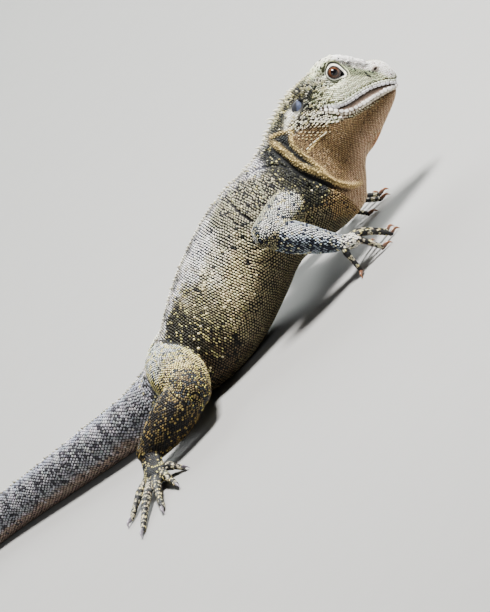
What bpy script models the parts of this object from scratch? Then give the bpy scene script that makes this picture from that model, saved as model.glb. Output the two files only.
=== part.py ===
"""A Gippsland water dragon at life size, a still model that rests on the floor.

The animal faces +X, its left side is +Y and the floor is Z = 0. The origin is on the flat of the
belly. Lengths in this file are millimetres, and to_object turns them into metres.
"""

import math
import random

import bmesh
import bpy
import numpy as np
from mathutils import Matrix, Vector
from mathutils.bvhtree import BVHTree

MM = 0.001
GAP = 0.3  # between sub-parts that meet
FLOOR_SIZE = 900.0  # side of the block that trims the flats

# Head carriage: the crown leans to the left, about the head's own long axis.
HEAD_ROLL = math.radians(12)
HEAD_CENTRE = Vector((150, 0, 66))
HEAD_AXIS = Vector((0.92, 0, -0.39)).normalized()
ROLL_STARTS_X, ROLL_FULL_X = 20.0, 120.0

# Sections of head, neck and trunk in the plane of symmetry, from the snout to the tail's root:
# dorsal x and z, ventral x and z, half width, height of the widest place, roundness above and below.
SECTIONS = (
    (182.4, 58.6, 179.4, 53.0, 3.4, 0.50, 2.2, 2.2),
    (182.6, 62.4, 177.0, 50.2, 6.2, 0.50, 2.4, 2.2),
    (181.2, 67.6, 171.5, 46.0, 8.0, 0.48, 2.5, 2.2),
    (177.5, 71.8, 163.5, 42.6, 9.4, 0.50, 2.6, 2.1),
    (172.0, 75.4, 155.0, 39.4, 11.2, 0.52, 2.8, 1.9),
    (168.5, 79.8, 148.0, 36.6, 13.4, 0.52, 3.0, 1.8),
    (163.5, 84.8, 142.0, 35.2, 15.4, 0.52, 3.0, 1.8),
    (157.5, 88.6, 137.0, 34.6, 17.2, 0.52, 3.0, 1.8),
    (150.0, 90.8, 133.5, 32.6, 19.2, 0.53, 2.7, 1.8),
    (141.0, 92.4, 130.5, 29.8, 20.8, 0.55, 2.4, 1.8),
    (129.0, 92.2, 127.8, 26.6, 21.0, 0.56, 2.3, 1.8),
    (115.5, 88.8, 122.8, 21.4, 18.8, 0.54, 2.1, 1.9),
    (105.5, 85.0, 118.5, 17.4, 19.8, 0.52, 2.0, 2.0),
    (96.0, 81.8, 111.5, 15.2, 22.6, 0.50, 2.0, 2.0),
    (84.0, 79.4, 101.0, 15.0, 25.2, 0.49, 2.0, 2.1),
    (66.0, 79.6, 85.0, 16.5, 27.4, 0.48, 2.0, 2.1),
    (46.0, 76.8, 67.0, 18.0, 29.0, 0.47, 2.0, 2.1),
    (25.0, 70.0, 48.0, 10.6, 31.0, 0.45, 2.0, 2.2),
    (7.0, 62.0, 27.0, 3.2, 32.0, 0.43, 2.0, 2.3),
    (-7.5, 54.2, 6.0, -0.6, 31.0, 0.42, 2.0, 2.4),
    (-21.5, 45.6, -11.0, -0.9, 27.5, 0.42, 2.0, 2.4),
    (-36.1, 38.8, -28.0, 0.8, 23.0, 0.44, 2.0, 2.2),
    (-50.0, 34.0, -45.0, 0.8, 18.5, 0.46, 2.0, 2.1),
)
HEAD_ENDS, NECK_ENDS, TORSO_ENDS = 11, 14, 22  # rows of SECTIONS where one sub-part ends

# The tail: its plan is drawn by its heading, in degrees from straight back towards the left side.
TAIL_LENGTH = 500.0
TAIL_STEP = 17.0
TAIL_HALF_HEIGHT, TAIL_HALF_WIDTH, TAIL_TIP = 16.2, 15.0, 0.9
TAIL_SINK = 0.35  # how far the tail is trimmed by the floor
BEND_STARTS_X = -8.0
HEADINGS = ((0, 0), (62, 33), (150, 36), (270, 2), (400, -17), (620, -10))
TAIL_LENGTHS = (("tail_root", 6), ("tail_middle", 7), ("tail_whip", 8), ("tail_tip", 0))

SIDES, TAIL_SIDES, LIMB_SIDES, PAD_SIDES, DIGIT_SIDES = 26, 18, 14, 12, 6
RINGS_A_SPAN = 2

# The mouth line in the plane of symmetry, from the snout's tip to the jaw's corner, and on to the neck.
MOUTH = ((186, 49.6), (177.9, 51.6), (174.5, 54.2), (169.8, 57.2), (163.3, 60.1), (155.8, 62.1),
         (147.9, 63.9), (142.8, 66.2), (139.3, 69.2), (133.9, 74.2))
MOUTH_END = ((127.0, 75.6), (104.0, 75.0))
LIP_LIFT, LIP_RADIUS = 1.75, 1.35

EYE = Vector((154.6, 10.4, 82.0))
EYE_RADIUS = 5.4
ORBIT = Vector((154.8, 20.3, 80.6))  # the shallow dish that the eye and its lids lie in
ORBIT_RADII, ORBIT_TILT = (11.5, 6.6, 7.2), math.radians(22)
LID_AXIS = Vector((0.14, 1.0, 0.12)).normalized()
LID_RING, LID_THICK, LID_OUT = 4.9, 1.15, 3.2
# The ridge from above the eye down to the nostril: x, y, z and radius of its points.
BROW = ((144.5, 11.8, 86.2, 2.0), (150.0, 11.7, 88.9, 3.1), (157.0, 10.7, 89.2, 3.5), (163.3, 9.3, 85.2, 3.1),
        (168.3, 8.1, 78.8, 2.5), (172.0, 6.9, 73.4, 2.0), (174.6, 5.6, 69.4, 1.4))
NOSTRIL = Vector((174.6, 0, 66.6))
NOSTRIL_RADIUS, NOSTRIL_SWELL = 0.95, 2.7
EAR = Vector((126.4, 0, 84.0))
EAR_RADII, EAR_TILT = (4.4, 1.9, 2.9), math.radians(-16)

# Crest of spines along the back: where each stretch ends along X, height and spacing there.
CREST = ((147, 1.1, 4.6), (130, 2.0, 5.0), (112, 2.8, 5.2), (94, 2.5, 5.4), (40, 1.7, 5.6), (-40, 1.7, 5.8),
         (-120, 1.6, 7.0), (-300, 0.9, 9.0))
SPINE_THICK, SPINE_SINK, SPINE_SWEEP, SPINE_VARIES = 0.9, 1.1, 0.6, 0.16
SEED = 31

# Limb joints, and the radii at and between them.
ARM_RADII = (12.0, 11.2, 10.0, 8.6)
FOREARM_RADII = (8.4, 9.6, 8.2, 5.9)
THIGH_RADII = (15.0, 16.5, 15.0, 11.6)
SHANK_RADII = (11.2, 13.2, 11.4, 7.6)
LIMBS = {
    "right": {
        "shoulder": (92, -18, 50), "elbow": (63, -47, 55), "wrist": (86, -47, 23.5), "palm": (93, -48, 17.5),
        "hip": (-30, -9, 29), "knee": (-31, -51, 22.5), "ankle": (-73, -49, 13.0), "sole": (-79, -67, 6.0),
    },
    "left": {
        "shoulder": (88, 17, 47), "elbow": (66, 47, 40), "wrist": (96, 40, 18), "palm": (103, 37, 13.0),
        "hip": (-27, 14, 25), "knee": (2, 48, 17.5), "ankle": (-37, 60, 9.5), "sole": (-27, 71, 5.6),
    },
}
# Tips of the digits on the floor, from the innermost to the outermost.
FINGER_TIPS = {
    "right": ((105, -24), (118, -30), (119, -42), (110, -53), (84, -61)),
    "left": ((119, 18), (131, 24), (133, 35), (128, 46), (110, 54)),
}
TOE_TIPS = {
    "right": ((-62, -87), (-73, -103), (-89, -117), (-107, -121), (-110, -86)),
    "left": ((-9, 72), (6, 79), (17, 91), (21, 106), (-17, 107)),
}
FINGER_RADII, TOE_RADII = (2.4, 1.7), (3.0, 1.9)
DIGIT_SINK, CLAW_LENGTH, CLAW_ROOT, CLAW_TIP = 0.25, 5.2, 1.25, 0.32

COLOURS = {
    "hide": ((0.33, 0.30, 0.17), 0.6),
    "throat": ((0.47, 0.34, 0.17), 0.6),
    "limb": ((0.25, 0.25, 0.19), 0.6),
    "eye": ((0.20, 0.06, 0.02), 0.1),
}


def clear_scene():
    for obj in list(bpy.data.objects):
        bpy.data.objects.remove(obj)


def eased(t):
    t = min(1.0, max(0.0, t))
    return t * t * (3 - 2 * t)


def spline(rows, t):
    """The row at t, counted in rows, on a smooth curve through all of them."""
    i = min(int(t), len(rows) - 2)
    f = t - i
    a, b, c, d = (rows[min(max(k, 0), len(rows) - 1)] for k in (i - 1, i, i + 1, i + 2))
    return b + 0.5 * f * (c - a + f * (2 * a - 5 * b + 4 * c - d + f * (3 * (b - c) + d - a)))


def heading_at(s):
    """The tail's heading at a distance along it, in radians."""
    for (s0, h0), (s1, h1) in zip(HEADINGS, HEADINGS[1:]):
        if s <= s1:
            break
    return math.radians(h0 + (h1 - h0) * eased((s - s0) / (s1 - s0)))


def plan_at(x):
    """Where a point of the straight animal at x lies in the bent one's plan, and its heading."""
    if x >= BEND_STARTS_X:
        return Vector((x, 0, 0)), 0.0
    length = BEND_STARTS_X - x
    steps = max(2, int(length / 4))
    at = Vector((BEND_STARTS_X, 0, 0))
    for k in range(steps):
        h = heading_at((k + 0.5) * length / steps)
        at += Vector((-math.cos(h), math.sin(h), 0)) * (length / steps)
    return at, heading_at(length)


def head_roll(angle):
    """Turns the head about its own long axis."""
    turn = Matrix.Rotation(-angle, 4, HEAD_AXIS)
    return Matrix.Translation(HEAD_CENTRE) @ turn @ Matrix.Translation(-HEAD_CENTRE)


def section_row(section, rolled):
    """A section as one row of numbers: centre, half height and half width as vectors, and its shape."""
    dx, dz, vx, vz, half_width, waist, above, below = section
    (top, _), (bottom, _) = plan_at(dx), plan_at(vx)
    top, bottom = top + Vector((0, 0, dz)), bottom + Vector((0, 0, vz))
    middle = (dx + vx) / 2
    heading = plan_at(middle)[1]
    side = Vector((math.sin(heading), math.cos(heading), 0)) * half_width
    centre, up = (top + bottom) / 2, (top - bottom) / 2
    if rolled:
        share = eased((middle - ROLL_STARTS_X) / (ROLL_FULL_X - ROLL_STARTS_X))
        turn = head_roll(HEAD_ROLL * share)
        centre, up, side = turn @ centre, turn.to_3x3() @ up, turn.to_3x3() @ side
    return np.array([*centre, *up, *side, waist, above, below])


def tail_sections():
    """Sections of the tail, which carry on from the trunk's last one."""
    x0 = (SECTIONS[-1][0] + SECTIONS[-1][2]) / 2
    count = int(TAIL_LENGTH / TAIL_STEP)
    for k in range(1, count + 1):
        share = k / count
        taper = (1 - share) ** 0.92
        high = TAIL_TIP + (TAIL_HALF_HEIGHT - TAIL_TIP) * taper
        wide = TAIL_TIP + (TAIL_HALF_WIDTH - TAIL_TIP) * taper * (1 - 0.14 * min(1, 5 * share))
        x = x0 - TAIL_LENGTH * share
        yield (x, 2 * high - TAIL_SINK, x, -TAIL_SINK, wide, 0.46, 1.9, 2.1)


def body_rows(rolled=True):
    return [section_row(s, rolled) for s in (*SECTIONS, *tail_sections())]


def section_ring(row, sides):
    """The points round one section, the first of them at the top."""
    centre, up, side = Vector(row[0:3]), Vector(row[3:6]), Vector(row[6:9])
    waist, above, below = row[9:12]
    ring = []
    for k in range(sides):
        angle = math.pi / 2 + 2 * math.pi * k / sides
        c, s = math.cos(angle), math.sin(angle)
        power = 2 / (above if s > 0 else below)
        across = math.copysign(abs(c) ** power, c)
        rise = math.copysign(abs(s) ** power, s)
        level = 2 * waist - 1
        height = level + rise * (1 - level if s > 0 else 1 + level)
        ring.append(centre + up * height + side * across)
    return ring


def skin_rings(bm, rings, first_tip=None, last_tip=None):
    """Lofts through unlike rings, and closes both ends with a fan to a tip."""
    loops = [[bm.verts.new(p) for p in ring] for ring in rings]
    count = len(loops[0])
    for near, far in zip(loops, loops[1:]):
        for k in range(count):
            bm.faces.new((near[k], near[(k + 1) % count], far[(k + 1) % count], far[k]))
    for loop, tip in ((loops[0], first_tip), (loops[-1], last_tip)):
        if tip is None:
            tip = sum((v.co for v in loop), Vector()) / count
        end = bm.verts.new(tip)
        for k in range(count):
            bm.faces.new((loop[k], loop[(k + 1) % count], end))
    bmesh.ops.recalc_face_normals(bm, faces=bm.faces)
    return bm


def body_length(rows, first, last, sides, rings_a_span=RINGS_A_SPAN, round_first=False, round_last=False):
    """The stretch of the body between two rows, drawn back from both ends by half a gap."""
    count = int(round((last - first) * rings_a_span)) + 1
    spots = [spline(rows, first + (last - first) * k / (count - 1)) for k in range(count)]
    rings = [section_ring(row, sides) for row in spots]
    tips = [None, None]
    for end, inner, rounded in ((0, 1, round_first), (-1, -2, round_last)):
        away = (Vector(spots[end][0:3]) - Vector(spots[inner][0:3])).normalized()
        normal = Vector(spots[end][3:6]).cross(Vector(spots[end][6:9])).normalized()
        normal = normal if normal.dot(away) > 0 else -normal
        if rounded:
            tips[end] = Vector(spots[end][0:3]) + normal * Vector(spots[end][6:9]).length * 0.4
        else:
            rings[end] = [p - normal * (GAP / 2) for p in rings[end]]
    return skin_rings(bmesh.new(), rings, *tips)


def tube(points, radii, sides, flatten=1.0, steps=3, rounded=(True, True)):
    """A limb: a smooth tube through points, flattened from above, with round ends."""
    path = [np.array([*p, r]) for p, r in zip(points, radii)]
    count = (len(path) - 1) * steps
    spots = [spline(path, (len(path) - 1) * k / count) for k in range(count + 1)]
    line = [(Vector(s[:3]), s[3]) for s in spots]
    start, end = (line[0][0] - line[1][0]).normalized(), (line[-1][0] - line[-2][0]).normalized()
    ends = (math.radians(28), math.radians(56), math.radians(76))
    if rounded[0]:
        (p, r) = line[0]
        line = [(p + start * r * math.sin(a), r * math.cos(a)) for a in reversed(ends)] + line
    if rounded[1]:
        (p, r) = line[-1]
        line += [(p + end * r * math.sin(a), r * math.cos(a)) for a in ends]
    rings = []
    for k, (p, r) in enumerate(line):
        along = (line[min(k + 1, len(line) - 1)][0] - line[max(k - 1, 0)][0]).normalized()
        side = along.cross(Vector((0, 0, 1)))
        side = side.normalized() if side.length > 0.05 else Vector((0, 1, 0))
        up = side.cross(along)
        angles = [2 * math.pi * j / sides for j in range(sides)]
        rings.append([p + side * r * math.cos(a) + up * r * flatten * math.sin(a) for a in angles])
    return skin_rings(bmesh.new(), rings)


def ellipsoid(centre, radii, tilt=0.0, steps=(16, 9)):
    """A ball with three radii, tilted about Y."""
    bm = bmesh.new()
    matrix = Matrix.Translation(centre) @ Matrix.Rotation(tilt, 4, "Y") @ Matrix.Diagonal((*radii, 1))
    bmesh.ops.create_uvsphere(bm, u_segments=steps[0], v_segments=steps[1], radius=1, matrix=matrix)
    return bm


def to_object(name, bm, matrix=None):
    """Makes an object of a mesh drawn in millimetres."""
    if matrix is not None:
        bm.transform(matrix)
    bm.transform(Matrix.Scale(MM, 4))
    mesh = bpy.data.meshes.new(name)
    bm.to_mesh(mesh)
    bm.free()
    obj = bpy.data.objects.new(name, mesh)
    bpy.context.scene.collection.objects.link(obj)
    return obj


def apply_boolean(obj, operation, others):
    """Joins or cuts an object with a collection of closed meshes, which are then removed."""
    group = bpy.data.collections.new("operands")
    for other in others:
        group.objects.link(other)
    modifier = obj.modifiers.new(operation.lower(), "BOOLEAN")
    modifier.operation, modifier.solver = operation, "MANIFOLD"
    modifier.operand_type, modifier.collection = "COLLECTION", group
    graph = bpy.context.evaluated_depsgraph_get()
    mesh = bpy.data.meshes.new_from_object(obj.evaluated_get(graph))
    obj.modifiers.clear()
    obj.data = mesh
    for other in others:
        bpy.data.objects.remove(other)
    bpy.data.collections.remove(group)
    keep_largest(obj)
    return obj


def keep_largest(obj):
    """Leaves only the largest closed surface of a mesh."""
    bm = bmesh.new()
    bm.from_mesh(obj.data)
    waiting, shells = set(bm.verts), []
    while waiting:
        shell, edge = set(), [waiting.pop()]
        while edge:
            vert = edge.pop()
            shell.add(vert)
            found = {e.other_vert(vert) for e in vert.link_edges} & waiting
            waiting -= found
            edge.extend(found)
        shells.append(shell)
    shells.sort(key=len)
    bmesh.ops.delete(bm, geom=[v for shell in shells[:-1] for v in shell], context="VERTS")
    bm.to_mesh(obj.data)
    bm.free()


def grown_copy(obj, by=GAP):
    """A cutter: a copy of an object, its surface moved out."""
    bm = bmesh.new()
    bm.from_mesh(obj.data)
    bm.normal_update()
    moves = [v.normal * by * MM for v in bm.verts]
    for vert, move in zip(bm.verts, moves):
        vert.co += move
    bm.transform(Matrix.Scale(1 / MM, 4))
    return to_object("cutter", bm)


def floor_block():
    bm = bmesh.new()
    bmesh.ops.create_cube(bm, size=FLOOR_SIZE, matrix=Matrix.Translation((0, 0, -FLOOR_SIZE / 2)))
    return to_object("floor_block", bm)


def mouth_cutter(above):
    """All that lies above, or below, the mouth line and half a gap from it."""
    lift = GAP / 2 if above else -GAP / 2
    line = [Vector((x, 0, z - lift)) for x, z in (*MOUTH, *MOUTH_END)]
    far = 160.0 if above else -40.0
    outline = line + [Vector((line[-1].x, 0, far)), Vector((line[0].x, 0, far))]
    bm = bmesh.new()
    face = bm.faces.new([bm.verts.new(p + Vector((0, -60, 0))) for p in outline])
    made = bmesh.ops.extrude_face_region(bm, geom=[face])["geom"]
    moved = [g for g in made if isinstance(g, bmesh.types.BMVert)]
    bmesh.ops.translate(bm, vec=(0, 120, 0), verts=moved)
    bmesh.ops.triangulate(bm, faces=bm.faces)
    bmesh.ops.recalc_face_normals(bm, faces=bm.faces)
    return to_object("mouth_cutter", bm)


def on_side(tree, x, z, side):
    """The point on the head's surface at x and z, seen from one side, and the normal there."""
    hit, normal, _, _ = tree.ray_cast(Vector((x, 80 * side, z)), Vector((0, -side, 0)))
    return hit, normal


def lip(tree, side, lift):
    """A raised lip that follows the mouth line along one side."""
    points = []
    for x, z in MOUTH[2:-1]:
        hit, normal = on_side(tree, x, z + lift, side)
        points.append(hit - normal * LIP_RADIUS * 0.35)
    radii = [LIP_RADIUS] * (len(points) - 1) + [LIP_RADIUS * 0.6]
    return to_object("lip", tube(points, radii, 6, steps=1))


def lid_ring(side):
    """The raised rim of both lids round one eye."""
    axis = Vector((LID_AXIS.x, LID_AXIS.y * side, LID_AXIS.z))
    middle = Vector((EYE.x, EYE.y * side, EYE.z)) + axis * LID_OUT
    spin = axis.to_track_quat("Z", "Y").to_matrix()
    bm = bmesh.new()
    major, minor = 16, 6
    loops = []
    for j in range(major):
        a = 2 * math.pi * j / major
        out = spin @ Vector((math.cos(a), math.sin(a), 0))
        loop = []
        for i in range(minor):
            b = 2 * math.pi * i / minor
            loop.append(bm.verts.new(middle + out * (LID_RING + LID_THICK * math.cos(b))
                                     + axis * LID_THICK * math.sin(b)))
        loops.append(loop)
    for j in range(major):
        near, far = loops[j], loops[(j + 1) % major]
        for i in range(minor):
            bm.faces.new((near[i], near[(i + 1) % minor], far[(i + 1) % minor], far[i]))
    bmesh.ops.recalc_face_normals(bm, faces=bm.faces)
    return to_object("lid_ring", bm)


def mirrored(point, side):
    return Vector((point.x, point.y * side, point.z))


def make_head(rows):
    """The head above the mouth line and the lower jaw with the throat below it, and the eyes."""
    core = body_length(rows, 0, HEAD_ENDS, SIDES + 2, 2, round_first=True)
    tree = BVHTree.FromBMesh(core)
    head = to_object("head", core.copy())
    jaw = to_object("lower_jaw", core)
    dishes, swell, upper_lips, lower_lips, holes, eyes = [], [], [], [], [], []
    for side in (-1, 1):
        ridge = [Vector((x, y * side, z)) for x, y, z, _ in BROW]
        swell.append(to_object("brow", tube(ridge, [r for *_, r in BROW], 8, steps=1)))
        dishes.append(to_object("orbit", ellipsoid(mirrored(ORBIT, side), ORBIT_RADII, ORBIT_TILT, steps=(20, 10))))
        swell.append(lid_ring(side))
        at, normal = on_side(tree, NOSTRIL.x, NOSTRIL.z, side)
        round_swell = (NOSTRIL_SWELL,) * 3
        swell.append(to_object("nostril_swell", ellipsoid(at - normal * 1.4, round_swell, steps=(10, 6))))
        hole = at + normal * 1.3
        holes.append(to_object("nostril", ellipsoid(hole, (NOSTRIL_RADIUS, 1.8, NOSTRIL_RADIUS), steps=(8, 5))))
        ear, _ = on_side(tree, EAR.x, EAR.z, side)
        holes.append(to_object("ear", ellipsoid(ear, EAR_RADII, EAR_TILT, steps=(14, 8))))
        eye = mirrored(EYE, side)
        holes.append(to_object("socket", ellipsoid(eye, (EYE_RADIUS + GAP,) * 3, steps=(16, 10))))
        eyes.append(to_object("eye_left" if side > 0 else "eye_right", ellipsoid(eye, (EYE_RADIUS,) * 3, steps=(16, 10))))
        upper_lips.append(lip(tree, side, LIP_LIFT))
        lower_lips.append(lip(tree, side, -LIP_LIFT))
    apply_boolean(head, "DIFFERENCE", dishes)
    apply_boolean(head, "UNION", swell + upper_lips + crest_between(rows, 7, HEAD_ENDS))
    apply_boolean(head, "DIFFERENCE", holes + [mouth_cutter(False)])
    apply_boolean(jaw, "UNION", lower_lips)
    apply_boolean(jaw, "DIFFERENCE", [mouth_cutter(True)])
    turn = head_roll(HEAD_ROLL)
    turn.translation *= MM
    for obj in (head, jaw, *eyes):
        obj.data.transform(turn)
    return head, jaw, *eyes


def crest_size(x):
    """Height and spacing of the crest's spines at x of the straight animal."""
    for (x0, h0, s0), (x1, h1, s1) in zip(CREST, CREST[1:]):
        if x >= x1:
            break
    t = (x0 - x) / (x0 - x1)
    return h0 + (h1 - h0) * t, s0 + (s1 - s0) * t


def top_line():
    """The ridge of the back as pairs of x in the straight animal and row number."""
    tops = [s[0] for s in (*SECTIONS, *tail_sections())]
    return [(x, k) for k, x in enumerate(tops) if k >= 7]


def row_at_top(x):
    """The row number whose dorsal point lies at x."""
    for (x0, k0), (x1, k1) in zip(top_line(), top_line()[1:]):
        if x1 <= x <= x0:
            return k0 + (x0 - x) / (x0 - x1)
    return None


def spine(rows, at, height, spread):
    """One spine of the crest, rooted in the ridge and swept back."""
    row = spline(rows, at)
    top = Vector(row[0:3]) + Vector(row[3:6])
    near, far = spline(rows, at - 0.2), spline(rows, at + 0.2)
    back = (Vector(far[0:3]) + Vector(far[3:6]) - Vector(near[0:3]) - Vector(near[3:6])).normalized()
    side = Vector(row[6:9]).normalized()
    up = side.cross(back).normalized()
    up = up if up.dot(Vector(row[3:6])) > 0 else -up
    root = top - up * SPINE_SINK
    thick = SPINE_THICK
    corners = [root - back * spread, root + side * thick, root + back * spread, root - side * thick]
    shoulder = [top + (c - root) * 0.8 for c in corners]
    tip = top + up * height + back * (height * SPINE_SWEEP)
    return to_object("spine", skin_rings(bmesh.new(), [corners, shoulder], None, tip))


def crest_between(rows, first, last):
    """The spines that grow between two rows, clear of both ends."""
    spines, x, draw = [], CREST[0][0], random.Random(SEED)
    while x > CREST[-1][0]:
        height, spacing = crest_size(x)
        height *= 1 + draw.uniform(-SPINE_VARIES, SPINE_VARIES)
        at = row_at_top(x)
        reach = height * (SPINE_SWEEP + 1.0) / spacing
        if first + 0.12 < at < last - 0.12 * max(1.0, reach):
            spines.append(spine(rows, at, height, min(spacing * 0.36, height * 1.1)))
        x -= spacing
    return spines


def make_trunk(rows):
    """Neck, torso and the lengths of the tail, each with its stretch of the crest."""
    made = []
    ends = [("neck", HEAD_ENDS, NECK_ENDS, SIDES), ("torso", NECK_ENDS, TORSO_ENDS, SIDES)]
    row = TORSO_ENDS
    for name, count in TAIL_LENGTHS:
        last = row + count if count else len(rows) - 1
        ends.append((name, row, last, TAIL_SIDES if name != "tail_tip" else TAIL_SIDES - 6))
        row = last
    for name, first, last, sides in ends:
        tip = last == len(rows) - 1
        rings_a_span = 1 if name.startswith("tail_") else RINGS_A_SPAN
        obj = to_object(name, body_length(rows, first, last, sides, rings_a_span, round_last=tip))
        spines = crest_between(rows, first, last)
        if spines:
            apply_boolean(obj, "UNION", spines)
        if name != "neck":
            apply_boolean(obj, "DIFFERENCE", [floor_block()])
        made.append(obj)
    return made


def digit(root, tip, radii, knuckle):
    """A finger or toe that arches from its root down to the floor, and its claw."""
    root, tip = Vector(root), Vector((*tip, 0))
    flat = Vector((tip.x - root.x, tip.y - root.y, 0))
    along = flat.normalized()
    thick, thin = radii
    low = thin - DIGIT_SINK
    end = Vector((tip.x, tip.y, low)) - along * CLAW_LENGTH
    joints = []
    for t in (0, 0.2, 0.42, 0.66, 0.87, 1):
        at = root.lerp(end, t)
        at.z = low + (root.z - low) * (1 - t ** 1.9) + knuckle * math.sin(math.pi * min(1, 1.1 * t)) * (1 - t)
        joints.append(at)
    sizes = [thick, thick * 0.92, thick * 0.98, (thick + thin) / 2, thin * 1.06, thin * 0.86]
    claw_path = [
        end - along * 1.2 + Vector((0, 0, 0.3)),
        end + along * CLAW_LENGTH * 0.35 + Vector((0, 0, 0.75)),
        end + along * CLAW_LENGTH * 0.72 + Vector((0, 0, 0.25)),
        Vector((tip.x, tip.y, CLAW_TIP)),
    ]
    claw_path[1].z, claw_path[2].z = low + 0.7, low * 0.5 + 0.5
    claw_sizes = [CLAW_ROOT, CLAW_ROOT * 0.92, CLAW_ROOT * 0.62, CLAW_TIP]
    yield to_object("digit", tube(joints, sizes, DIGIT_SIDES, steps=1, rounded=(False, True)))
    yield to_object("claw", tube(claw_path, claw_sizes, 6, steps=1, rounded=(False, False)))


def make_extremity(name, limb, joint, pad, tips, radii, pad_size, knuckle):
    """A hand or foot: its pad, the digits and their claws as one piece."""
    start, pad_at = Vector(limb[joint]), Vector(limb[pad])
    along = (pad_at - start).normalized()
    across = along.cross(Vector((0, 0, 1))).normalized()
    tip_middle = Vector((sum(t[0] for t in tips) / 5, sum(t[1] for t in tips) / 5, 0))
    if across.dot(Vector((*tips[4], 0)) - Vector((*tips[0], 0))) < 0:
        across = -across
    body = to_object(name, tube([start, (start + pad_at) / 2, pad_at], pad_size[:3], PAD_SIDES, pad_size[3]))
    pieces = []
    for k, tip in enumerate(tips):
        spread = (k - 2) / 2
        root = pad_at + across * spread * pad_size[2] * 0.72 - along * abs(spread) * pad_size[2] * 0.35
        if k == 4:
            root -= along * pad_size[2] * 0.45
        root.z = min(root.z, pad_at.z)
        scale = 0.94 if k in (0, 4) else 1.0
        pieces += digit(root, tip, [r * scale for r in radii], knuckle)
    return apply_boolean(body, "UNION", pieces)


def make_limb(side, flesh):
    """One side's fore limb and hind limb, each link cut clear of the one before it."""
    limb = LIMBS[side]
    made = []
    for links, finish in (
        ((("upper_arm", "shoulder", "elbow", ARM_RADII, 1.06), ("forearm", "elbow", "wrist", FOREARM_RADII, 1.0)),
         ("hand", "wrist", "palm", FINGER_TIPS[side], FINGER_RADII, (5.6, 6.2, 6.6, 0.66), 1.6)),
        ((("thigh", "hip", "knee", THIGH_RADII, 1.08), ("shank", "knee", "ankle", SHANK_RADII, 1.0)),
         ("foot", "ankle", "sole", TOE_TIPS[side], TOE_RADII, (7.0, 7.0, 7.6, 0.62), 0.6)),
    ):
        before = list(flesh)
        for name, start, end, radii, flatten in links:
            a, b = Vector(limb[start]), Vector(limb[end])
            path = [a.lerp(b, t) for t in (0, 0.34, 0.68, 1)]
            obj = to_object(f"{name}_{side}", tube(path, radii, LIMB_SIDES, flatten))
            apply_boolean(obj, "DIFFERENCE", [grown_copy(o) for o in before] + [floor_block()])
            made.append(obj)
            before = [*flesh, obj]
        name, joint, pad, tips, radii, pad_size, knuckle = finish
        obj = make_extremity(f"{name}_{side}", limb, joint, pad, tips, radii, pad_size, knuckle)
        apply_boolean(obj, "DIFFERENCE", [grown_copy(made[-1]), floor_block()])
        made.append(obj)
    return made


def material(name, finish):
    """The plain finish of a sub-part."""
    colour, roughness = COLOURS[finish]
    made = bpy.data.materials.new(name)
    made.use_nodes = True
    shader = made.node_tree.nodes["Principled BSDF"]
    shader.inputs["Base Color"].default_value = (*colour, 1)
    shader.inputs["Roughness"].default_value = roughness
    shader.inputs["Metallic"].default_value = 0.0
    return made


def finish_of(name):
    if name.startswith("eye"):
        return "eye"
    if name == "lower_jaw":
        return "throat"
    return "limb" if name.endswith(("_left", "_right")) else "hide"


def main():
    clear_scene()
    animal = bpy.data.collections.new("water_dragon")
    bpy.context.scene.collection.children.link(animal)
    rows = body_rows()
    parts = list(make_head(body_rows(rolled=False)))
    trunk = make_trunk(rows)
    flesh = [o for o in trunk if o.name in ("neck", "torso", "tail_root")]
    parts += trunk
    for side in ("right", "left"):
        parts += make_limb(side, flesh)
    root = bpy.data.objects.new("water_dragon_root", None)
    animal.objects.link(root)
    for obj in parts:
        bpy.context.scene.collection.objects.unlink(obj)
        animal.objects.link(obj)
        obj.parent = root
        obj.data.materials.clear()
        obj.data.materials.append(material(f"{obj.name}_hide", finish_of(obj.name)))
        obj.data.shade_smooth()
        obj.data.set_sharp_from_angle(angle=math.radians(40))


main()
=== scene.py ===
"""A life-size Gippsland water dragon with its skin, scales, crest, eyes and claws, laid out as an add-on.

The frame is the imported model: +X towards the head, +Y the animal's left, the floor at Z = 0.
Lengths are millimetres up to the making of each mesh, where MM turns them into metres.
"""
import math

import bpy
import numpy as np
from bpy.props import FloatProperty, FloatVectorProperty, IntProperty, PointerProperty
from mathutils import Matrix, Vector, noise
from mathutils.bvhtree import BVHTree
from mathutils.kdtree import KDTree


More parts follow.
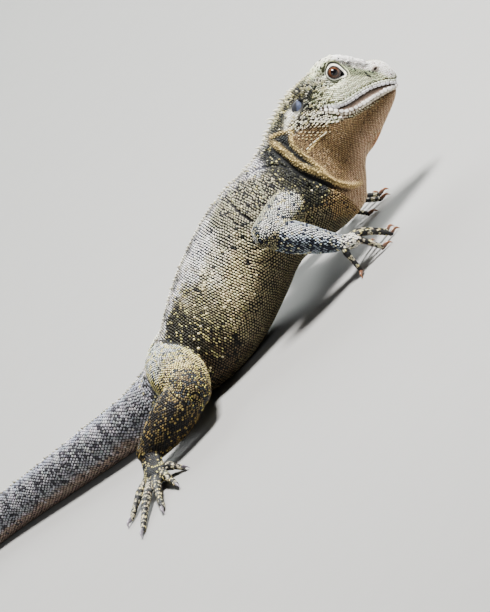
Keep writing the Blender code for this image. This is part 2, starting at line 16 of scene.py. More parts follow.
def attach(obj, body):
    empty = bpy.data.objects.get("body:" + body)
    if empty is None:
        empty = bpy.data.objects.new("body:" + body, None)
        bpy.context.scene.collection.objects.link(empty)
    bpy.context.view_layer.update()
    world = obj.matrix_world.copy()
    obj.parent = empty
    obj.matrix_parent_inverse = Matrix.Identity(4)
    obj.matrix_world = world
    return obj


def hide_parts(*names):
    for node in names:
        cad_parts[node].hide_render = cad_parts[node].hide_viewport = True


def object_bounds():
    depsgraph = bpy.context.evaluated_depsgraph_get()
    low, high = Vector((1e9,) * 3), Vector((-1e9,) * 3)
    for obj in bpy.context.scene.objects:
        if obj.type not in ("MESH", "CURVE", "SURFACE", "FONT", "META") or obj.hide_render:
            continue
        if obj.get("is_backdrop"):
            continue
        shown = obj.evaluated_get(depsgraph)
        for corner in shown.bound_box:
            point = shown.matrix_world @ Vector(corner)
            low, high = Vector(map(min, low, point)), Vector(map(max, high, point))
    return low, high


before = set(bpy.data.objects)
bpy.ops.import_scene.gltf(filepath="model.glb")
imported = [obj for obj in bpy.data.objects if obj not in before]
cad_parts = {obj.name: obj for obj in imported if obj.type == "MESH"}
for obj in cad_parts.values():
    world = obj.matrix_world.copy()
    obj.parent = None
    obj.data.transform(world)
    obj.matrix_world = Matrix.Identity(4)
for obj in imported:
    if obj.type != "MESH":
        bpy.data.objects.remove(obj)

bl_info = {
    "name": "Gippsland water dragon",
    "version": (1, 0, 0),
    "blender": (4, 5, 0),
    "location": "3D View > Sidebar > Dragon",
    "description": "Skin, scales, crest, eyes and claws of a life-size water dragon",
    "category": "Object",
}

MM = 0.001
# Millimetres in a metre.
METRE = 1000
# Depth of the scales, by which the skin lies inside the flesh.
COAT = 0.35
# The most triangles that the skin may have.
SKIN_FACES = 188000
# Cosine and sine of the view's rise over the floor.
VIEW_COS, VIEW_SIN = 0.966, 0.259

# Head carriage: the crown leans to the left, about the head's own long axis.
HEAD_ROLL = math.radians(12)
HEAD_CENTRE = Vector((150, 0, 66))
HEAD_AXIS = Vector((0.92, 0, -0.39)).normalized()
ROLL_STARTS_X, ROLL_FULL_X = 20.0, 120.0

# Sections of head, neck and trunk in the plane of symmetry, from the snout to the tail's root:
# dorsal x and z, ventral x and z, half width, height of the widest place, roundness above and below.
SECTIONS = (
    (182.4, 58.6, 179.4, 53.0, 3.4, 0.50, 2.2, 2.2),
    (182.6, 62.4, 177.0, 50.2, 6.2, 0.50, 2.4, 2.2),
    (181.2, 67.6, 171.5, 46.0, 8.0, 0.48, 2.5, 2.2),
    (177.5, 71.8, 163.5, 42.6, 9.4, 0.50, 2.6, 2.1),
    (172.0, 75.4, 155.0, 39.4, 11.2, 0.52, 2.8, 1.9),
    (168.5, 79.8, 148.0, 36.6, 13.4, 0.52, 3.0, 1.8),
    (163.5, 84.8, 142.0, 35.2, 15.4, 0.52, 3.0, 1.8),
    (157.5, 88.6, 137.0, 34.6, 17.2, 0.52, 3.0, 1.8),
    (150.0, 90.8, 133.5, 32.6, 19.2, 0.53, 2.7, 1.8),
    (141.0, 92.4, 130.5, 29.8, 20.8, 0.55, 2.4, 1.8),
    (129.0, 92.2, 127.8, 26.6, 21.0, 0.56, 2.3, 1.8),
    (115.5, 88.8, 122.8, 21.4, 18.8, 0.54, 2.1, 1.9),
    (105.5, 85.0, 118.5, 17.4, 19.8, 0.52, 2.0, 2.0),
    (96.0, 81.8, 111.5, 15.2, 22.6, 0.50, 2.0, 2.0),
    (84.0, 79.4, 101.0, 15.0, 25.2, 0.49, 2.0, 2.1),
    (66.0, 79.6, 85.0, 16.5, 27.4, 0.48, 2.0, 2.1),
    (46.0, 76.8, 67.0, 18.0, 29.0, 0.47, 2.0, 2.1),
    (25.0, 70.0, 48.0, 10.6, 31.0, 0.45, 2.0, 2.2),
    (7.0, 62.0, 27.0, 3.2, 32.0, 0.43, 2.0, 2.3),
    (-7.5, 54.2, 6.0, -0.6, 31.0, 0.42, 2.0, 2.4),
    (-21.5, 45.6, -11.0, -0.9, 27.5, 0.42, 2.0, 2.4),
    (-36.1, 38.8, -28.0, 0.8, 23.0, 0.44, 2.0, 2.2),
    (-50.0, 34.0, -45.0, 0.8, 18.5, 0.46, 2.0, 2.1),
)
# The section numbers where head, neck and torso end.
HEAD_ENDS, NECK_ENDS, TORSO_ENDS = 11.3, 14, 22
# Rows from one section to the next, sides of the trunk's surface, and the last section of the unturned head.
# Then the round ends of a length of flesh: angles of their rows, and the snout's share of its half width.
FINE, TRUNK_SIDES, CORE_ENDS = 10, 96, 16
CAP_ANGLES, SNOUT_REACH = np.radians((14, 28, 42, 55, 67, 77, 84)), 0.42

# The tail: its plan is drawn by its heading, in degrees from straight back towards the left side.
TAIL_LENGTH, TAIL_STEP = 500.0, 17.0
TAIL_HALF_HEIGHT, TAIL_HALF_WIDTH, TAIL_TIP = 16.2, 15.0, 0.9
TAIL_SINK = 0.35
BEND_STARTS_X = -8.0
HEADINGS = ((0, 0), (62, 33), (150, 36), (270, 2), (400, -17), (620, -10))

# The mouth line in the plane of symmetry, from the snout's tip to the jaw's corner.
MOUTH = ((186, 49.6), (177.9, 51.6), (174.5, 54.2), (169.8, 57.2), (163.3, 60.1), (155.8, 62.1),
         (147.9, 63.9), (142.8, 66.2), (139.3, 69.2), (133.9, 74.2))
MOUTH_RISE = np.array(MOUTH[::-1]).T

EYE = Vector((154.6, 10.4, 82.0))
EYE_RADIUS = 5.4
ORBIT = Vector((154.8, 20.3, 80.6))
ORBIT_RADII, ORBIT_TILT = (11.5, 6.6, 7.2), math.radians(22)
LID_AXIS = Vector((0.14, 1.0, 0.12)).normalized()
SOCKET_RADII, SOCKET_TILT = (5.7, 6.6, 5.0), math.radians(45)
# The ridge from above the eye down to the nostril: x, y, z and radius of its points.
BROW = ((144.5, 11.8, 86.2, 2.0), (150.0, 11.7, 88.9, 3.1), (157.0, 10.7, 89.2, 3.5),
        (163.3, 9.3, 85.2, 3.1), (168.3, 8.1, 78.8, 2.5), (172.0, 6.9, 73.4, 2.0), (174.6, 5.6, 69.4, 1.4))
NOSTRIL = Vector((174.6, 0, 66.6))
NOSTRIL_RADII, NOSTRIL_SWELL = (1.3, 2.8, 0.95), 2.7
EAR = Vector((126.4, 0, 84.0))
EAR_RADII, EAR_TILT = (4.4, 1.9, 2.9), math.radians(-16)

# Crest of spines along the back: where each stretch ends along X, height and spacing there.
CREST = ((148, 0.7, 2.0), (130, 1.8, 2.3), (112, 2.3, 2.5), (94, 1.8, 2.3), (60, 1.1, 2.1), (-40, 0.9, 2.1),
         (-120, 1.0, 2.6), (-300, 0.6, 3.4))

# Limb joints, and the radii at and between them.
ARM_RADII = (12.0, 11.2, 10.0, 8.6)
FOREARM_RADII = (8.4, 9.6, 8.2, 5.9)
THIGH_RADII = (15.0, 16.5, 15.0, 11.6)
SHANK_RADII = (11.2, 13.2, 11.4, 7.6)
LIMBS = {
    "right": {
        "shoulder": (92, -18, 50), "elbow": (63, -47, 55), "wrist": (86, -47, 23.5),
        "palm": (93, -48, 17.5), "hip": (-30, -9, 29), "knee": (-31, -51, 22.5),
        "ankle": (-73, -49, 13.0), "sole": (-79, -67, 6.0),
    },
    "left": {
        "shoulder": (88, 17, 47), "elbow": (66, 47, 40), "wrist": (96, 40, 18),
        "palm": (103, 37, 13.0), "hip": (-27, 14, 25), "knee": (2, 48, 17.5),
        "ankle": (-37, 60, 9.5), "sole": (-27, 71, 5.6),
    },
}
LINKS = (
    ("upper_arm", "shoulder", "elbow", ARM_RADII, 1.06),
    ("forearm", "elbow", "wrist", FOREARM_RADII, 1.0),
    ("thigh", "hip", "knee", THIGH_RADII, 1.08),
    ("shank", "knee", "ankle", SHANK_RADII, 1.0),
)
# Tips of the digits on the floor, from the innermost to the outermost.
FINGER_TIPS = {
    "right": ((105, -24), (118, -30), (119, -42), (110, -53), (84, -61)),
    "left": ((119, 18), (131, 24), (133, 35), (128, 46), (110, 54)),
}
TOE_TIPS = {
    "right": ((-62, -87), (-73, -103), (-89, -117), (-107, -121), (-110, -86)),
    "left": ((-9, 72), (6, 79), (17, 91), (21, 106), (-17, 107)),
}
FINGER_RADII, TOE_RADII = (2.4, 1.7), (3.0, 1.9)
HAND_PAD, FOOT_PAD = (5.6, 6.2, 6.6, 0.66), (7.0, 7.0, 7.6, 0.62)
DIGIT_SINK, CLAW_LENGTH, CLAW_ROOT, CLAW_TIP = 0.25, 6.2, 1.15, 0.16
# Hands and feet: joints of the pad, tips and radii of the digits, size of the pad, rise of a knuckle.
EXTREMITIES = {
    "hand": ("wrist", "palm", FINGER_TIPS, FINGER_RADII, HAND_PAD, 1.6),
    "foot": ("ankle", "sole", TOE_TIPS, TOE_RADII, FOOT_PAD, 0.6),
}

# Folds of the hide: x and z of their points on the side, width, height and whether they are pale.
FOLDS = (
    (((100.5, 86), (103.0, 80), (103.8, 73), (104.4, 65), (107.5, 57), (110.3, 50), (113.0, 41), (118, 33),
      (124, 28.5)), 1.7, 1.25, 1),
    (((101, 85.5), (105.3, 83.6), (110.5, 82), (115.5, 79.6)), 1.1, 0.8, 1),
    (((116, 79.6), (111.5, 76.5), (109.8, 72), (110.4, 65), (111.2, 58), (112.4, 50)), 1.2, 0.9, 1),
    (((107.0, 80), (106.8, 74), (107.2, 67), (109.2, 60)), 1.1, -1.0, 0),
    (((96.8, 85), (99.4, 79), (100.3, 71), (100.9, 63), (104, 56), (107.0, 49), (109.8, 41), (115, 32)),
     1.5, -1.9, 0),
    (((93.5, 84), (96.5, 78), (97.5, 71), (98.2, 64)), 1.1, -1.1, 0),
    (((112.0, 65.5), (117, 65.8), (122, 66.2), (129.0, 66.6)), 0.6, 0.4, 1),
    (((72, 77.5), (80, 78.5), (87, 77.5), (95.5, 72.5), (101.5, 63.5), (104.0, 54), (106.5, 44)),
     1.3, -1.2, 0),
    (((61.5, 78), (60.8, 71), (61.5, 65), (62.5, 61)), 1.2, -1.3, 0),
    (((56.0, 77), (54.5, 71), (55.0, 65)), 1.0, -0.8, 0),
    (((98.0, 81.5), (94.0, 79.5), (90.5, 77.0)), 1.2, -1.2, 0),
    (((100.3, 54), (99.3, 49)), 1.1, -1.1, 0),
    (((87, 79), (83.5, 73), (81, 66), (80.5, 61)), 0.9, -0.5, 0),
    (((79, 80), (75.5, 74), (73.8, 67), (74.5, 62)), 1.0, -0.6, 0),
    (((71, 80), (68, 74), (67, 68), (68.5, 63)), 0.9, -0.5, 0),
    (((66, 43), (58, 46), (50, 51)), 1.0, -0.5, 0),
    (((64, 37), (56, 38), (47, 42)), 1.0, -0.5, 0),
    (((64, 50), (56, 55), (48, 61)), 1.0, -0.5, 0),
)


def tone(red, green, blue):
    """A colour named by its screen values, as light values."""
    shares = np.array((red, green, blue)) / 255
    return np.where(shares <= 0.04045, shares / 12.92, ((shares + 0.055) / 1.055) ** 2.4)


def eased(t):
    t = np.clip(t, 0.0, 1.0)
    return t * t * (3 - 2 * t)


def spline(rows, t):
    """The rows at every t, counted in rows, on a smooth curve through all of them."""
    rows, t = np.asarray(rows, float), np.atleast_1d(t)
    i = np.clip(t.astype(int), 0, len(rows) - 2)
    f = (t - i)[:, None]
    a, b, c, d = (rows[np.clip(i + k, 0, len(rows) - 1)] for k in (-1, 0, 1, 2))
    return b + 0.5 * f * (c - a + f * (2 * a - 5 * b + 4 * c - d + f * (3 * (b - c) + d - a)))


def unit(vectors):
    """The same vectors, one long."""
    return vectors / np.maximum(np.linalg.norm(vectors, axis=1), 1e-9)[:, None]


def lengths(line):
    """How far each point of a line is along it."""
    return np.concatenate([[0], np.cumsum(np.linalg.norm(np.diff(line, axis=0), axis=1))])


def walked(line, s, stops):
    """The places on a line at these lengths along it."""
    return np.stack([np.interp(stops, s, line[:, k]) for k in range(line.shape[1])], 1)


def kd_tree(points):
    """A tree that finds the nearest of these points."""
    tree = KDTree(len(points))
    for number, point in enumerate(points):
        tree.insert(point, number)
    tree.balance()
    return tree


def tilted(x, z, angle):
    """The two coordinates turned by an angle."""
    c, s = math.cos(angle), math.sin(angle)
    return c * x - s * z, s * x + c * z


def heading_at(s):
    """The tail's heading at a distance along it, in radians."""
    for (s0, h0), (s1, h1) in zip(HEADINGS, HEADINGS[1:]):
        if s <= s1:
            break
    return math.radians(h0 + (h1 - h0) * eased((s - s0) / (s1 - s0)))


def plan_at(x):
    """Where a point of the straight animal at x lies in the bent one's plan, and its heading."""
    if x >= BEND_STARTS_X:
        return Vector((x, 0, 0)), 0.0
    length = BEND_STARTS_X - x
    steps = max(2, int(length / 4))
    at = Vector((BEND_STARTS_X, 0, 0))
    for k in range(steps):
        h = heading_at((k + 0.5) * length / steps)
        at += Vector((-math.cos(h), math.sin(h), 0)) * (length / steps)
    return at, heading_at(length)


def roll_share(x):
    """Share of the head's roll that the body has at x."""
    return eased((x - ROLL_STARTS_X) / (ROLL_FULL_X - ROLL_STARTS_X))


def head_roll(angle):
    """Turns the head about its own long axis."""
    turn = Matrix.Rotation(-angle, 4, HEAD_AXIS)
    return Matrix.Translation(HEAD_CENTRE) @ turn @ Matrix.Translation(-HEAD_CENTRE)


def section_row(section, rolled):
    """A section as one row of numbers: centre, half height and half width as vectors, and its shape."""
    dx, dz, vx, vz, half_width, waist, above, below = section
    (top, _), (bottom, _) = plan_at(dx), plan_at(vx)
    top, bottom = top + Vector((0, 0, dz)), bottom + Vector((0, 0, vz))
    middle = (dx + vx) / 2
    heading = plan_at(middle)[1]
    side = Vector((math.sin(heading), math.cos(heading), 0)) * half_width
    centre, up = (top + bottom) / 2, (top - bottom) / 2
    if rolled:
        turn = head_roll(HEAD_ROLL * roll_share(middle))
        centre, up, side = turn @ centre, turn.to_3x3() @ up, turn.to_3x3() @ side
    return [*centre, *up, *side, waist, above, below]


def tail_sections():
    """Sections of the tail, which carry on from the trunk's last one."""
    x0 = (SECTIONS[-1][0] + SECTIONS[-1][2]) / 2
    count = int(TAIL_LENGTH / TAIL_STEP)
    for k in range(1, count + 1):
        share = k / count
        taper = (1 - share) ** 0.92
        high = TAIL_TIP + (TAIL_HALF_HEIGHT - TAIL_TIP) * taper
        wide = TAIL_TIP + (TAIL_HALF_WIDTH - TAIL_TIP) * taper * (1 - 0.14 * min(1, 5 * share))
        x = x0 - TAIL_LENGTH * share
        yield (x, 2 * high - TAIL_SINK, x, -TAIL_SINK, wide, 0.46, 1.9, 2.1)


def body_rows(rolled=True):
    return np.array([section_row(s, rolled) for s in (*SECTIONS, *tail_sections())])


def ring_points(rows, sides):
    """The points round each section, the first of them at the top."""
    angle = math.pi / 2 + 2 * math.pi * np.arange(sides) / sides
    c, s = np.cos(angle)[None], np.sin(angle)[None]
    waist, above, below = (rows[:, k:k + 1] for k in (9, 10, 11))
    power = 2 / np.where(s > 0, above, below)
    across = np.sign(c) * np.abs(c) ** power
    rise = np.sign(s) * np.abs(s) ** power
    level = 2 * waist - 1
    height = level + rise * np.where(s > 0, 1 - level, 1 + level)
    centre, up, side = (rows[:, None, k:k + 3] for k in (0, 3, 6))
    return centre + up * height[..., None] + side * across[..., None]


def capped(rows, end, reach):
    """Rows with a round end, as long as reach times the half width there."""
    last = rows[0] if end == 0 else rows[-1]
    inner = rows[1] if end == 0 else rows[-2]
    away = last[0:3] - inner[0:3]
    normal = np.cross(last[3:6], last[6:9])
    normal *= np.sign(normal @ away) / np.linalg.norm(normal)
    cap = []
    for angle in CAP_ANGLES:
        row = last.copy()
        row[0:3] += normal * np.linalg.norm(last[6:9]) * reach * math.sin(angle)
        row[3:9] *= math.cos(angle)
        cap.append(row)
    return np.vstack([cap[::-1], rows]) if end == 0 else np.vstack([rows, cap])


def tube_rows(points, radii, flatten=1.0, steps=8, rounded=(True, True)):
    """Rows of a smooth tube through points, flattened from above."""
    path = np.array([[*p, r] for p, r in zip(points, radii)])
    line = spline(path, np.linspace(0, len(path) - 1, (len(path) - 1) * steps + 1))
    along = unit(np.gradient(line[:, :3], axis=0))
    side = unit(np.cross(along, (0, 0, 1.0)))
    up = np.cross(side, along)
    radius = line[:, 3:4]
    shape = np.tile((0.5, 2.0, 2.0), (len(line), 1))
    rows = np.hstack([line[:, :3], up * radius * flatten, side * radius, shape])
    if rounded[0]:
        rows = capped(rows, 0, 1.0)
    if rounded[1]:
        rows = capped(rows, 1, 1.0)
    return rows


def ball_rows(centre, radii, tilt=0.0):
    """Rows of a ball with three radii, tilted about Y, its poles across the body."""
    turn = np.array(Matrix.Rotation(tilt, 3, "Y"))
    rows = []
    for angle in np.radians(np.linspace(-85, 85, 18)):
        at = turn @ np.array((0, radii[1] * math.sin(angle), 0)) + np.array(centre)
        up = turn @ np.array((0, 0, radii[2])) * math.cos(angle)
        side = turn @ np.array((radii[0], 0, 0)) * math.cos(angle)
        rows.append([*at, *up, *side, 0.5, 2, 2])
    return np.array(rows)


def moved(rows, matrix):
    turn, shift = np.array(matrix.to_3x3()), np.array(matrix.translation)
    vectors = rows[:, 0:9].reshape(-1, 3, 3) @ turn.T
    vectors[:, 0] += shift
    return np.hstack([vectors.reshape(-1, 9), rows[:, 9:]])


def bands(count, sides):
    """Triangles from each ring of points to the next."""
    k = np.arange(sides)
    after = (k + 1) % sides
    near = np.arange(count - 1)[:, None] * sides
    far = near + sides
    first = np.stack([near + k, near + after, far + after], -1)
    second = np.stack([near + k, far + after, far + k], -1)
    return np.concatenate([first, second]).reshape(-1, 3)


def fan(start, sides, tip):
    """Triangles from a ring of points to a tip."""
    k = np.arange(sides)
    return np.stack([start + k, start + (k + 1) % sides, np.full(sides, tip)], -1)


def closed_rings(rings):
    """Points and triangles of the closed surface over rings of points."""
    count, sides = rings.shape[:2]
    points = np.vstack([rings.reshape(-1, 3), rings[0].mean(0), rings[-1].mean(0)])
    first = fan(0, sides, count * sides)[:, [1, 0, 2]]
    last = fan((count - 1) * sides, sides, count * sides + 1)
    return points, np.vstack([bands(count, sides), first, last])


def horn_faces(count, sides):
    """Triangles of rings of points one over the other, with a tip and a flat foot."""
    foot = [(0, k + 1, k) for k in range(1, sides - 1)]
    return np.vstack([bands(count, sides), fan((count - 1) * sides, sides, count * sides), foot])


def loft(rows, sides):
    """Points and triangles of the closed surface through rows."""
    return outward(*closed_rings(ring_points(rows, sides)))


def outward(points, faces):
    """The same surface with its faces turned outwards."""
    a, b, c = (points[faces[:, k]] for k in range(3))
    if np.einsum("ij,ij->i", a, np.cross(b, c)).sum() < 0:
        faces = faces[:, ::-1]
    return points, faces


def joined(parts):
    """Several surfaces as one list of points and triangles."""
    points, faces, start = [], [], 0
    for part_points, part_faces in parts:
        points.append(part_points)
        faces.append(part_faces + start)
        start += len(part_points)
    return np.vstack(points), np.vstack(faces)


def new_object(name, points, faces):
    """An object of triangles drawn in millimetres."""
    mesh = bpy.data.meshes.new(name)
    mesh.vertices.add(len(points))
    mesh.vertices.foreach_set("co", (points * MM).astype(np.float32).ravel())
    mesh.loops.add(len(faces) * 3)
    mesh.loops.foreach_set("vertex_index", faces.astype(np.int32).ravel())
    mesh.polygons.add(len(faces))
    mesh.polygons.foreach_set("loop_start", np.arange(0, len(faces) * 3, 3, dtype=np.int32))
    mesh.update(calc_edges=True)
    obj = bpy.data.objects.new(name, mesh)
    bpy.context.scene.collection.objects.link(obj)
    return obj


def choose(obj):
    """Makes this the one selected and active object."""
    bpy.ops.object.select_all(action="DESELECT")
    obj.select_set(True)
    bpy.context.view_layer.objects.active = obj


def smooth(obj):
    """Shades an object smooth."""
    choose(obj)
    bpy.ops.object.shade_smooth()


def apply_modifier(obj, kind, **settings):
    """Adds a modifier with these settings and applies it."""
    choose(obj)
    bpy.ops.object.modifier_add(type=kind)
    modifier = obj.modifiers[-1]
    for key, value in settings.items():
        setattr(modifier, key, value)
    bpy.ops.object.modifier_apply(modifier=modifier.name)


def cut(obj, tools):
    """Cuts closed pieces out of an object and removes them."""
    group = bpy.data.collections.new("tools")
    for tool in tools:
        group.objects.link(tool)
    apply_modifier(obj, "BOOLEAN", operation="DIFFERENCE", solver="MANIFOLD", operand_type="COLLECTION",
                   collection=group)
    for tool in tools:
        bpy.data.objects.remove(tool)
    bpy.data.collections.remove(group)


def vectors_of(obj, key):
    """One vector for each point of an object's mesh."""
    found = np.empty(len(obj.data.vertices) * 3, np.float32)
    obj.data.vertices.foreach_get(key, found)
    return found.reshape(-1, 3).astype(float)


def points_of(obj):
    """The points of an object's mesh in millimetres."""
    return vectors_of(obj, "co") / MM


def set_points(obj, points):
    obj.data.vertices.foreach_set("co", (points * MM).astype(np.float32).ravel())
    obj.data.update()


def triangles_of(obj):
    obj.data.calc_loop_triangles()
    found = np.empty(len(obj.data.loop_triangles) * 3, np.int32)
    obj.data.loop_triangles.foreach_get("vertices", found)
    return found.reshape(-1, 3)


def tree_of(points, faces):
    return BVHTree.FromPolygons(points.tolist(), faces.tolist())


def digit_path(root, tip, radii, knuckle):
    """Points and sizes of a finger or toe that arches down to the floor, and those of its claw."""
    root, tip = Vector(root), Vector((*tip, 0))
    along = Vector((tip.x - root.x, tip.y - root.y, 0)).normalized()
    thick, thin = radii
    low = thin - DIGIT_SINK
    end = Vector((tip.x, tip.y, low)) - along * (CLAW_LENGTH - 1.0)
    joints = []
    for t in (0, 0.2, 0.42, 0.66, 0.87, 1):
        at = root.lerp(end, t)
        arch = knuckle * math.sin(math.pi * min(1, 1.1 * t)) * (1 - t)
        at.z = low + (root.z - low) * (1 - t ** 1.9) + arch
        joints.append(at)
    sizes = [thick, thick * 0.9, thick * 1.02, (thick + thin) / 2 * 0.94, thin * 1.1, thin * 0.86]
    claw = [end - along * 1.6 + Vector((0, 0, 0.5))]
    for share, lift in ((0.2, 1.05), (0.45, 1.25), (0.7, 0.85)):
        claw.append(Vector((*(end + along * CLAW_LENGTH * share).xy, low + lift - 0.3)))
    claw.append(Vector((*(end + along * CLAW_LENGTH * 0.93).xy, CLAW_TIP + 0.1)))
    claw_sizes = [CLAW_ROOT, CLAW_ROOT, CLAW_ROOT * 0.82, CLAW_ROOT * 0.55, CLAW_TIP]
    return joints, sizes, claw, claw_sizes


def extremity(kind, side):
    """Rows of the pad of a hand or foot, and the path of each of its digits."""
    joint, pad, tips, radii, pad_size, knuckle = EXTREMITIES[kind]
    start, pad_at, tips = Vector(LIMBS[side][joint]), Vector(LIMBS[side][pad]), tips[side]
    along = (pad_at - start).normalized()
    across = along.cross(Vector((0, 0, 1))).normalized()
    if across.dot(Vector((*tips[4], 0)) - Vector((*tips[0], 0))) < 0:
        across = -across
    digits = []
    for k, tip in enumerate(tips):
        spread = (k - 2) / 2
        root = pad_at + across * spread * pad_size[2] * 0.72 - along * abs(spread) * pad_size[2] * 0.35
        if k == 4:
            root -= along * pad_size[2] * 0.45
        root.z = min(root.z, pad_at.z)
        scale = 0.94 if k in (0, 4) else 1.0
        digits.append(digit_path(root, tip, [r * scale for r in radii], knuckle))
    return tube_rows([start, (start + pad_at) / 2, pad_at], pad_size[:3], pad_size[3]), digits


def stretches():
    """Every length of flesh by name: its rows, its sides, the pitch of its scales, and section numbers."""
    sizes = bpy.context.scene.dragon_scales
    rows = body_rows()
    last = len(rows) - 1
    trunk = capped(capped(spline(rows, np.linspace(0, last, FINE * last + 1)), 0, SNOUT_REACH), 1, 1.0)
    t = (np.arange(len(trunk)) - len(CAP_ANGLES)) / FINE
    head, flank, fine = (METRE * s for s in (sizes.head_pitch, sizes.flank_pitch, sizes.throat_pitch))
    pitch = np.interp(t, (0, 9, 12, 15, 21, 23, 30, last),
                      (head, head, head * 1.3, flank, flank, flank * 1.2, flank * 1.05, 1.0))
    front = t < NECK_ENDS
    found = {"trunk": (trunk, TRUNK_SIDES, pitch, t),
             "throat": (trunk[front], TRUNK_SIDES, fine, t[front])}
    for side, sign in (("right", -1), ("left", 1)):
        ridge = tube_rows([(x, y * sign, z) for x, y, z, _ in BROW], [r for *_, r in BROW])
        ridge = moved(ridge, head_roll(HEAD_ROLL))
        found[f"brow_{side}"] = (ridge, 20, head * 0.9, np.full(len(ridge), 6.5))
    limb_pitch, digit_pitch = METRE * sizes.limb_pitch, METRE * sizes.digit_pitch
    for side, limb in LIMBS.items():
        for name, start, end, radii, flatten in LINKS:
            a, b = Vector(limb[start]), Vector(limb[end])
            path = [a.lerp(b, share) for share in (0, 0.34, 0.68, 1)]
            found[f"{name}_{side}"] = (tube_rows(path, radii, flatten), 40, limb_pitch, None)
        for kind in EXTREMITIES:
            pad, digits = extremity(kind, side)
            found[f"{kind}_{side}"] = (pad, 32, limb_pitch * 0.85, None)
            for k, (joints, radii, _, _) in enumerate(digits):
                digit = tube_rows(joints, radii, steps=6, rounded=(False, True))
                found[f"{kind}_{side}_digit_{k}"] = (digit, 16, digit_pitch, None)
    return found


def claws_of(kind):
    """Paths of all claws of the hands or of the feet."""
    for side in LIMBS:
        _, digits = extremity(kind, side)
        for _, _, claw, sizes in digits:
            yield claw, sizes


def on_side(tree, x, z, side):
    """The point on a surface at x and z, seen from one side."""
    return tree.ray_cast(Vector((x, 90 * side, z)), Vector((0, -side, 0)))[0]


def core_tree():
    """The unturned head as a surface to set things on."""
    rows = body_rows(rolled=False)
    rows = spline(rows, np.linspace(0, CORE_ENDS, FINE * CORE_ENDS + 1))
    return tree_of(*loft(capped(rows, 0, SNOUT_REACH), TRUNK_SIDES))


def mouth_path():
    """Points along the closed mouth from the right corner round the snout to the left one, unturned."""
    tree = core_tree()
    line = spline(np.array(MOUTH), np.linspace(0, len(MOUTH) - 1, 200))
    sides = {}
    for side in (-1, 1):
        hits = [on_side(tree, x, z, side) for x, z in line[::-1] if x < 177]
        sides[side] = [h for h in hits if h is not None]
    front = []
    for angle in np.radians(np.linspace(-78, 78, 40)):
        ray = Vector((math.cos(angle), math.sin(angle), 0))
        z = 52.0
        for _ in range(3):
            hit = tree.ray_cast(Vector((172, 0, z)), ray)[0]
            z = float(np.interp(hit.x, line[::-1, 0], line[::-1, 1]))
        front.append(hit)
    front = [h for h in front if h.x >= 177]
    path = np.array([list(p) for p in (*sides[-1], *front, *sides[1][::-1])])
    s = lengths(path)
    return walked(path, s, np.linspace(0, s[-1], int(s[-1] / 0.8)))


def mouth_gap_tool(path):
    """A closed ribbon along the mouth line, widest at its middle and narrow at the corners and the tip."""
    gap = bpy.context.scene.dragon_head.mouth_gap * METRE
    share = np.abs(np.linspace(-1, 1, len(path)))
    high = gap * (0.28 + 0.72 * np.sin(np.pi * np.clip(share * 1.02, 0, 1)) ** 0.8)
    centre = np.array((150.0, 0, 0))
    inward = centre - path
    inward[:, 0] = np.clip(inward[:, 0], -6, 0) * (1 - share) ** 0.3
    inward[:, 2] = 0
    inward, rise = unit(inward), np.array((0, 0, 1.0))
    rings = []
    for depth, side in ((-1.6, 1.3), (0.4, 1.0), (2.6, 0.75), (2.6, -0.75), (0.4, -1.0), (-1.6, -1.3)):
        rings.append(path + inward * depth + rise * (high * side / 2)[:, None])
    return closed_rings(np.stack(rings, 1))


def turned_by(points, share):
    """Points turned with the head by shares of its roll."""
    angle = -HEAD_ROLL * np.broadcast_to(share, len(points))[:, None]
    axis, centre = np.array(HEAD_AXIS), np.array(HEAD_CENTRE)
    away = points - centre
    turned = away * np.cos(angle) + np.cross(axis, away) * np.sin(angle)
    return centre + turned + axis * (away @ axis)[:, None] * (1 - np.cos(angle))


def pictured(points):
    """Places of head and neck as the view of the right side shows them: x, and height up the view."""
    share = roll_share(points[:, 0])
    own = turned_by(points, -share)
    own[:, 1] = -np.abs(own[:, 1])
    seen = turned_by(own, share)
    return np.stack([seen[:, 0], VIEW_COS * seen[:, 2] + VIEW_SIN * seen[:, 1]], 1)


def near_line(spots, line, radius, soft):
    """One within a radius of a line on the view, and zero further off."""
    line, best = np.array(line, float), np.full(len(spots), 1e9)
    for a, b in zip(line[:-1], line[1:]):
        way = b - a
        share = np.clip((spots - a) @ way / (way @ way), 0, 1)
        best = np.minimum(best, np.linalg.norm(spots - a - share[:, None] * way, axis=1))
    return eased((radius - best) / soft + 0.5)


def grain(points, size, shift=0.0):
    """Smooth noise between -1 and 1 at each point, with features of one size."""
    offset = Vector((shift, shift * 1.7, -shift))
    return np.array([noise.noise(Vector(p) / size + offset) for p in points]) * 1.6


def window(x, low, high, soft):
    """One between low and high, and zero further off than soft."""
    return eased((x - low) / soft + 1) * eased((high - x) / soft + 1)


def mix(a, b, share):
    share = np.clip(share, 0, 1)
    share = share[:, None] if np.ndim(share) else share
    return a * (1 - share) + b * share


